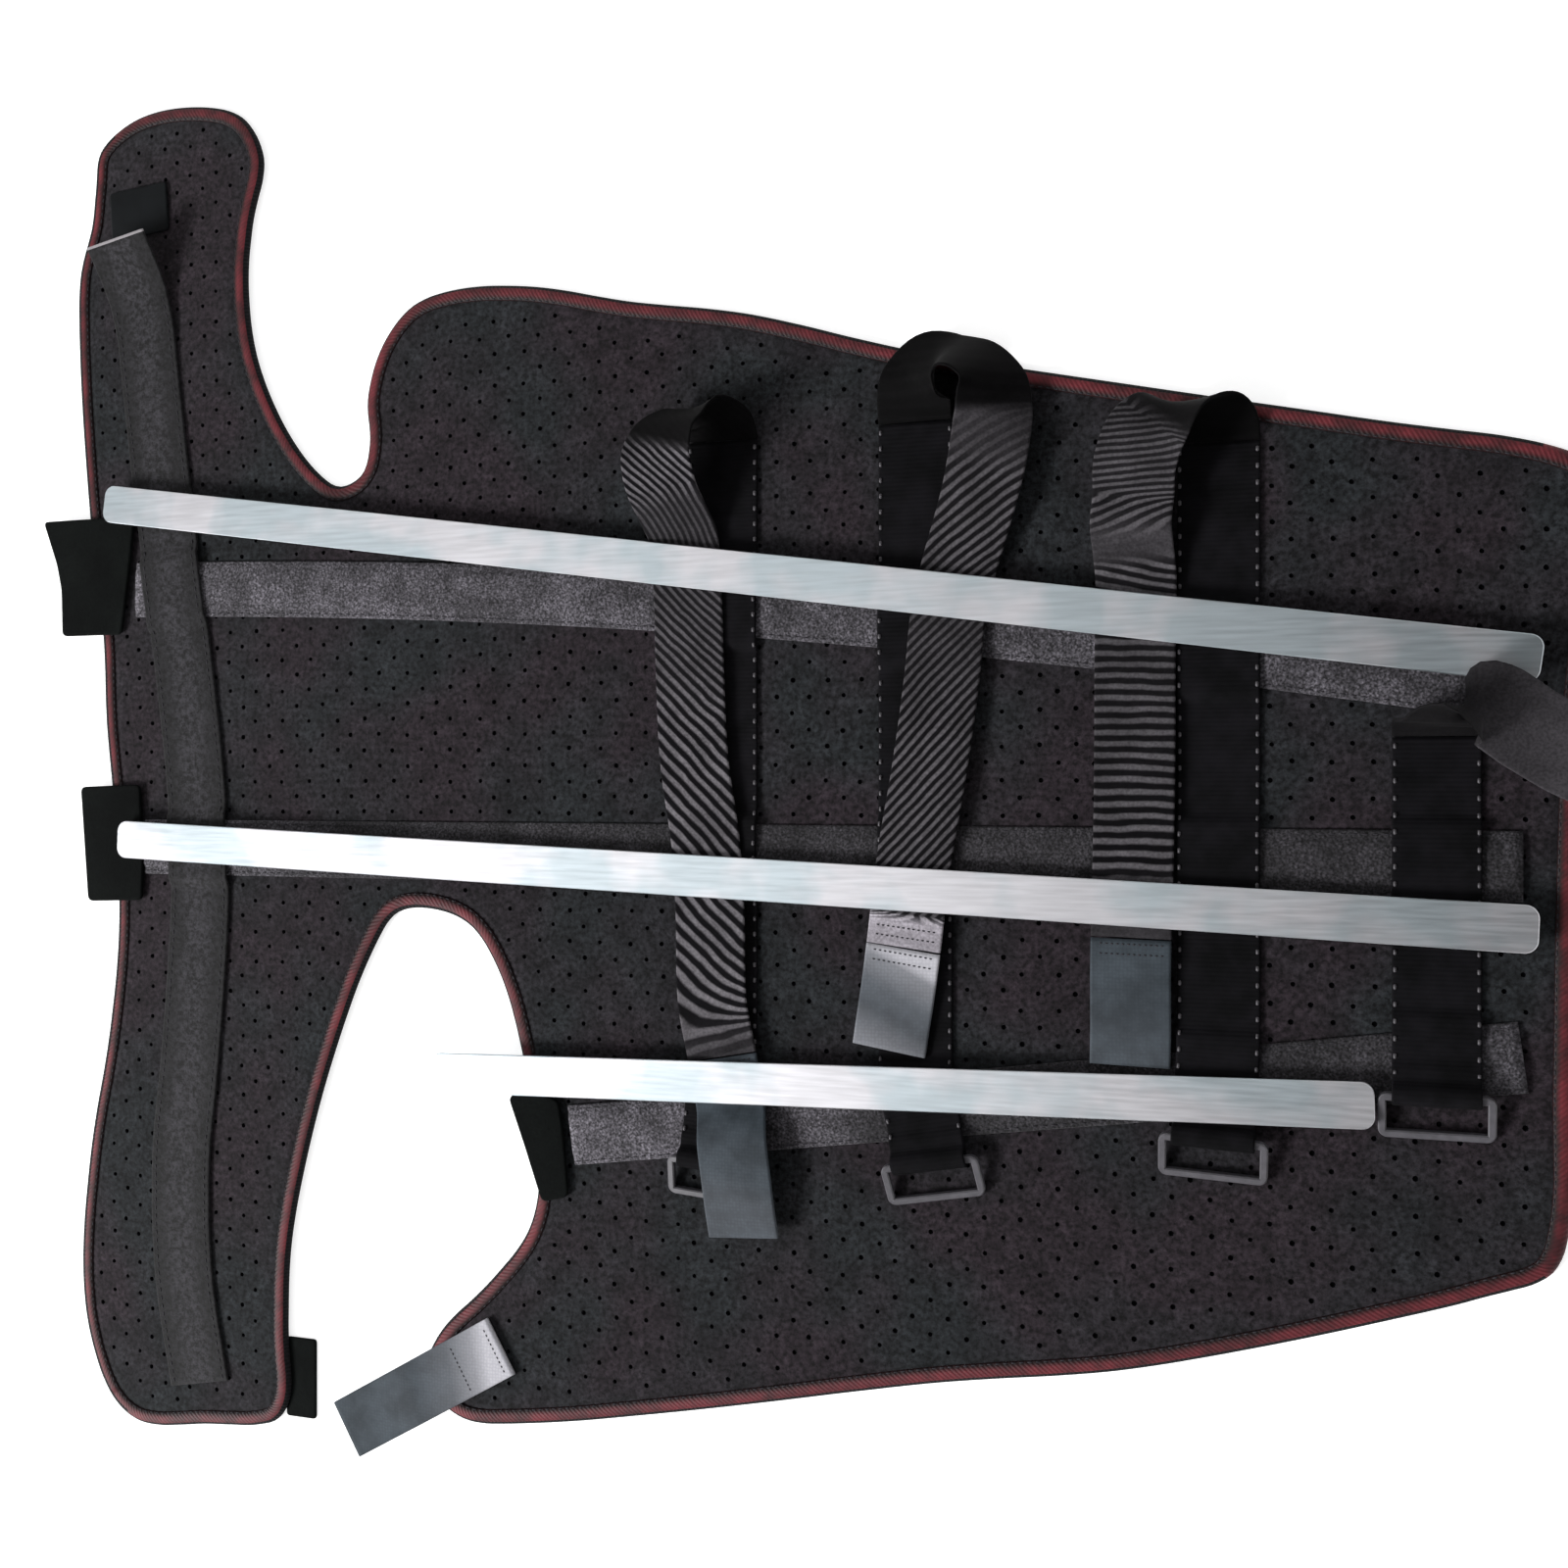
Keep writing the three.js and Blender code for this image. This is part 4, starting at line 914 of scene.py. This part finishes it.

# The free straps: striped webbing, rising off its base into a loop and lying back down
# on it. The rows give, at a place along the strap in millimetres, the pitch of its ribs,
# their angle as seen from above, how far they stand out, and how light it is painted:
# painted shade on the loops that turn from the light, painted highlights where it faces it.
STRIPES_AND_PAINTED_LIGHT = {
    1: [
        (0, 3, -42, 0.1, 0.06), (43, 3, -42, 0.1, 0.06), (48, 3, -42, 1, 0.8),
        (64, 3, -44, 1, 0.8), (74, 3, -66, 0.5, 0.5), (90, 3, -74, 0.5, 0.5),
        (112, 3, -44, 0.7, 0.6), (140, 3.4, -42, 0.8, 0.65), (170, 4.4, -44, 1, 0.8),
        (230, 5, -46, 1, 0.9), (280, 5.4, -40, 1, 0.9), (296, 6, -14, 1, 0.9),
        (304, 6, 16, 0.8, 0.8), (311, 6, 20, 0.3, 0.7), (330, 6, 0, 0, 0.6),
    ],
    2: [
        (0, 5, 0, 0.1, 0.05), (70, 5, 0, 0.1, 0.07), (75, 4, 30, 0.1, 0.9), (90, 4, 30, 0.3, 0.7),
        (98, 4, 32, 0.8, 0.6), (130, 3.6, 36, 0.9, 0.6), (160, 3.2, 42, 0.6, 0.5),
        (200, 3.3, 47, 0.9, 0.6), (260, 3.3, 46, 0.9, 0.6), (284, 3.4, 40, 0.8, 0.6),
        (286, 5, 0, 0, 10), (292, 5, 0, 0, 8), (300, 5, 0, 0, 6),
    ],
    3: [
        (0, 5, 0, 0.05, 0.05), (36, 5, 0, 0.05, 0.08), (42, 2.5, 2, 0.6, 0.5),
        (72, 2.5, 2, 0.7, 0.6), (76, 3.4, 18, 0.8, 0.7), (84, 3.8, 22, 0.6, 0.8),
        (89, 4, 16, 0.05, 1.1), (98, 4, -8, 0.05, 0.7), (102, 4, -14, 0.9, 0.7),
        (116, 4, -8, 0.8, 0.6), (140, 4.4, -2, 0.8, 0.5), (220, 5, 0, 1, 0.6),
        (236, 5.2, 0, 0.5, 0.5), (240, 5.2, 0, 0, 0.8), (255, 5.2, 0, 0, 0.8),
    ],
    4: [(0, 5, 0, 0, 0.15), (30, 5, 0, 0, 0.2), (44, 5, 0, 0, 1.1), (160, 5, 0, 0, 1.5)],
}
# The far strap's turn lies lower than its CAD loop: places along it in millimetres, and
# how far it is pulled towards its ring there
FAR_PULL = [(0, 0), (8, 3), (24, 11), (60, 11), (110, 6), (145, 0)]
STRAP_STEP = 2
HEM_REACH, HEM_PITCH, HEM_ROWS = 13.5, 2.2, (-3, -5)

# Striped polyester webbing: each rib is a raised pale cord between dark grooves. Painted shade
# darkens it where the webbing bends out of the light, and painted highlights lighten lit folds
webbing, tree, place, surface = new_material("ribbed polyester webbing")
parts = stored(tree, "pattern_and_painted_light")
waver = mottled(tree, place, 18, (0, 1), (-0.3, 0.3), Detail=2)
count = add_node(tree, "Math", {0: parts["X"], 1: waver}, operation="ADD")
rib = wave(tree, count.outputs[0], 1)
raised = add_node(tree, "MapRange", {
    "Value": rib, "From Min": -0.5, "From Max": 0.8, "To Min": -0.26, "To Max": 0.74,
}, interpolation_type="SMOOTHSTEP")
level = add_node(
    tree, "Math", {0: raised.outputs["Result"], 1: parts["Y"], 2: 0.26},
    operation="MULTIPLY_ADD",
)
stripe = add_node(
    tree, "Mix",
    {0: level.outputs[0], 6: linear("#08070a"), 7: linear("#5e5b5f")}, data_type="RGBA",
)
yarn = mottled(tree, place, 1.1, (0.3, 0.7), (0.7, 1.25), Detail=2)
worn = mottled(tree, place, 16, (0.3, 0.7), (0.7, 1.2), Detail=2)
shade = add_node(tree, "Math", {0: yarn, 1: worn}, operation="MULTIPLY")
# Z is painted light: shade on the loops, highlights on lit folds and at the hem
shade = add_node(tree, "Math", {0: shade.outputs[0], 1: parts["Z"]}, operation="MULTIPLY")
colour = add_node(tree, "VectorMath", {
    0: stripe.outputs[2], 1: shade.outputs[0],
}, operation="MULTIPLY")
relief = add_node(tree, "Bump", {
    "Height": level.outputs[0], "Strength": 0.5, "Distance": 0.4 * MM,
})
cloth = add_node(tree, "BsdfPrincipled", {
    "Base Color": colour.outputs[0], "Roughness": 0.75, "Normal": relief.outputs[0],
    "Sheen Weight": 0.01, "Sheen Roughness": 0.4, "Specular IOR Level": 0.04,
})
tree.links.new(cloth.outputs[0], surface)


def across_at(rows, picks, reach, rise):
    """Runs of points straight across a tape at the picked rows, for its end stitches."""
    middle, across, up = frames_of(rows)
    return [
        [middle[row] + across[row] * side + up[row] * rise for side in (-reach, reach)]
        for row in picks
    ]


def striped(table, rows):
    """Reads the stripe rows down a strap: the count of ribs, their contrast, and how
    light the webbing is painted, which stands for its shade and highlights."""
    middle, side, _ = frames_of(rows)
    steps = np.diff(middle, axis=0)
    gone = distances(middle)
    at, *columns = (np.array(column, float) for column in zip(*table))
    pitch, angle, contrast, light = (np.interp(gone, at, column) for column in columns)
    angle = np.radians(angle)
    normal = np.column_stack([-np.sin(angle), np.cos(angle)]) / pitch[:, None]
    turns = np.concatenate([[0], np.cumsum(np.sum(steps[:, :2] * normal[1:], axis=1))])
    tilt = np.sum(side[:, :2] * normal, axis=1)

    def pattern_and_painted_light(along, across):
        count = turns[:, None] + across * tilt[:, None]
        flat = np.ones_like(across)
        return count, flat * contrast[:, None], flat * light[:, None]

    return pattern_and_painted_light


for number in range(1, 5):
    rows = runs_of(f"strap_{number}", WEBBING_WIDTH, WEBBING_THICKNESS)
    box_low, box_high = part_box(f"strap_base_{number}")
    start = np.array([(box_low[0] + box_high[0]) / 2, box_high[1]]) / MM
    if np.linalg.norm(rows[0, :2] - start) > np.linalg.norm(rows[-1, :2] - start):
        rows = rows[::-1]
    rows = eased(faced(rows), STRAP_STEP)
    if number == 4:
        rows[:, 1] -= np.interp(np.arange(len(rows)) * STRAP_STEP, *zip(*FAR_PULL))
    strap, along = swept(
        f"free_strap_{number}", rows, tape_section(WEBBING_WIDTH, WEBBING_THICKNESS), [webbing],
        "webbing", f"strap_{number}", pattern_and_painted_light=striped(STRIPES_AND_PAINTED_LIGHT[number], rows),
    )
    hems = across_at(rows, HEM_ROWS, HEM_REACH, WEBBING_THICKNESS / 2)
    hem = sewn(
        f"strap_hem_stitch_{number}", hems, HEM_PITCH, THREAD_GIRTH, black_thread, "webbing",
    )

# The strap ends: stiff hook tape sewn on where the webbing stops. The rows give how far a
# painted sheen has turned each from slate to silver at places along it in millimetres.
TAIL_THICKNESS = 1.6
JOIN_ROWS = (1, 3)
TAIL_PAINTED_SHEEN = {
    1: [(0, 0.02), (24, 0), (34, 0.02), (50, 0.03), (62, 0.08)],
    2: [(0, 1), (5, 0.9), (8, 0.4), (20, 0.12), (30, 0.08), (46, 0.35)],
    3: [(0, 0.01), (20, 0.02), (50, 0.05)],
    4: [(0, 0.02), (50, 0.02)],
}

for number in range(1, 5):
    rows = runs_of(f"strap_tail_{number}", WEBBING_WIDTH, TAIL_THICKNESS)
    rows = eased(from_end(rows, (0, 1, 0)), STRAP_STEP)
    tail, along = swept(
        f"strap_hook_end_{number}", rows, tape_section(WEBBING_WIDTH, TAIL_THICKNESS), [hook_tape],
        "hook_tape", f"strap_tail_{number}", pattern_and_painted_light=along_it(TAIL_PAINTED_SHEEN[number], 0.35),
    )
    joins = across_at(rows, JOIN_ROWS, HEM_REACH, TAIL_THICKNESS / 2)
    join = sewn(
        f"strap_end_stitch_{number}", joins, HEM_PITCH, THREAD_GIRTH, black_thread, "hook_tape",
    )

# The corner tab: a short length of hook tape that joins the panel to the band when the
# wrap is worn, sewn flat on the sheet's lower left corner
TAB_WIDTH, TAB_THICKNESS = 28, 1.6
TAB_HEM_REACH, TAB_HEM_ROWS = 11.5, (2, 12)
# How far a painted sheen turns the tab from slate to silver at places along it in millimetres
TAB_PAINTED_SHEEN = [(0, 1), (8, 1), (16, 0.5), (30, 0.16), (50, 0.03), (110, 0)]
rows = from_end(runs_of("corner_tab", TAB_WIDTH, TAB_THICKNESS), (1, 0, 0))
rows = eased(rows, STRAP_STEP)
tab, along = swept(
    "corner_hook_tab", rows, tape_section(TAB_WIDTH, TAB_THICKNESS), [hook_tape], "hook_tape",
    "corner_tab", pattern_and_painted_light=along_it(TAB_PAINTED_SHEEN, 0.35),
)
seams = across_at(rows, TAB_HEM_ROWS, TAB_HEM_REACH, TAB_THICKNESS / 2)
seam = sewn("corner_tab_stitch", seams, HEM_PITCH, THREAD_GIRTH, black_thread, "hook_tape")

# The rings: rectangular loops moulded in dark grey nylon, one held in the fold of each
# strap base. They keep their CAD shape.
ring_plastic, tree, place, surface = new_material("moulded nylon, dark grey")
skin = add_node(tree, "TexNoise", {"Vector": place, "Scale": 1000 / 3, "Detail": 3})
tone = add_node(
    tree, "Mix",
    {0: skin.outputs["Fac"], 6: linear("#323135"), 7: linear("#514f54")}, data_type="RGBA",
)
relief = add_node(tree, "Bump", {
    "Height": skin.outputs["Fac"], "Strength": 0.15, "Distance": 0.2 * MM,
})
shell = add_node(tree, "BsdfPrincipled", {
    "Base Color": tone.outputs[2], "Roughness": 0.38, "Normal": relief.outputs[0], "IOR": 1.53,
})
tree.links.new(shell.outputs[0], surface)
for number in range(1, 5):
    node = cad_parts[f"ring_{number}"]
    for held in node.material_slots:
        held.material = ring_plastic

# The stays: flat aluminium bars with rounded corners, rolled and tumbled to a satin
# skin, lying loose across the straps in line with their sleeves. They keep their CAD
# shape.
aluminium, tree, place, surface = new_material("rolled aluminium, satin")
drawn = add_node(tree, "Mapping", {0: place, "Scale": (0.06, 1, 1)})
lines = add_node(tree, "TexNoise", {"Vector": drawn.outputs[0], "Scale": 1000 / 1.5, "Detail": 3})
tint = mottled(tree, place, 40, (0.42, 0.58), Detail=3)
metal = add_node(
    tree, "Mix", {0: tint, 6: linear("#aab3b8"), 7: linear("#c0bfc3")}, data_type="RGBA",
)
worn = add_node(tree, "MapRange", {
    "Value": lines.outputs["Fac"], "From Min": 0.35, "From Max": 0.65,
    "To Min": 0.91, "To Max": 1.05,
})
metal = add_node(tree, "VectorMath", {
    0: metal.outputs[2], 1: worn.outputs["Result"],
}, operation="MULTIPLY")
gloss = add_node(tree, "MapRange", {"Value": lines.outputs["Fac"], "To Min": 0.36, "To Max": 0.48})
relief = add_node(tree, "Bump", {
    "Height": lines.outputs["Fac"], "Strength": 0.12, "Distance": 0.1 * MM,
})
bar = add_node(tree, "BsdfPrincipled", {
    "Base Color": metal.outputs[0], "Metallic": 1.0, "Roughness": gloss.outputs["Result"],
    "Normal": relief.outputs[0],
})
tree.links.new(bar.outputs[0], surface)
for name in ("upper", "middle", "lower"):
    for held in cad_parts[f"stay_{name}"].material_slots:
        held.material = aluminium

# The studio: an opal light table that sweeps up all round, lit from below so that
# shadows on it stay pale, a soft key from the lower left and a soft panel overhead
SWEEP = [(5.5, 0), (6.6, 0.15), (7.5, 0.6), (8.1, 1.4), (8.4, 2.6), (8.5, 6)]
SWEEP_SIDES = 64
points = [
    (radius * math.cos(turn), radius * math.sin(turn), height)
    for radius, height in SWEEP
    for turn in (math.tau * k / SWEEP_SIDES for k in range(SWEEP_SIDES))
]
faces = [tuple(range(SWEEP_SIDES))]
for ring in range(len(SWEEP) - 1):
    for k in range(SWEEP_SIDES):
        a, b = ring * SWEEP_SIDES + k, ring * SWEEP_SIDES + (k + 1) % SWEEP_SIDES
        faces.append((a, a + SWEEP_SIDES, b + SWEEP_SIDES, b))
floor_mesh = bpy.data.meshes.new("floor")
floor_mesh.from_pydata(points, [], faces)
floor_mesh.shade_smooth()
floor = bpy.data.objects.new("floor", floor_mesh)
bpy.context.scene.collection.objects.link(floor)
white, tree, _, surface = new_material("opal acrylic light table")
opal = add_node(tree, "BsdfDiffuse", {"Color": linear("#cccccc")})
glow = add_node(tree, "Emission", {"Color": (1, 1, 1, 1), "Strength": 0.7})
lit = add_node(tree, "AddShader", {0: opal.outputs[0], 1: glow.outputs[0]})
tree.links.new(lit.outputs[0], surface)
floor_mesh.materials.append(white)

for name, place, side, power in (
    ("key", (-3.3, -2.03, 2.35), 1.3, 360),
    ("panel", (-0.78, 0, 1.64), 1.5, 8.4),
):
    lamp = bpy.data.lights.new(name, "AREA")
    lamp.size = side
    lamp.energy = power
    light = bpy.data.objects.new(name, lamp)
    light.location = place
    light.rotation_euler = (-Vector(place)).to_track_quat("-Z", "Y").to_euler()
    bpy.context.scene.collection.objects.link(light)

world = bpy.data.worlds.new("studio")
world.use_nodes = True
world.node_tree.nodes["Background"].inputs["Color"].default_value = (1, 1, 1, 1)
world.node_tree.nodes["Background"].inputs["Strength"].default_value = 0.08
bpy.context.scene.world = world
bpy.context.scene.view_settings.view_transform = "Standard"

camera_data = bpy.data.cameras.new("camera")
camera_data.lens = 40.5
camera_data.sensor_width = 36
camera = bpy.data.objects.new("camera", camera_data)
camera.location = (0.24061, -0.00717, 0.715)
camera.rotation_euler = (0, math.atan(0.36), 0)
bpy.context.scene.collection.objects.link(camera)
bpy.context.scene.camera = camera
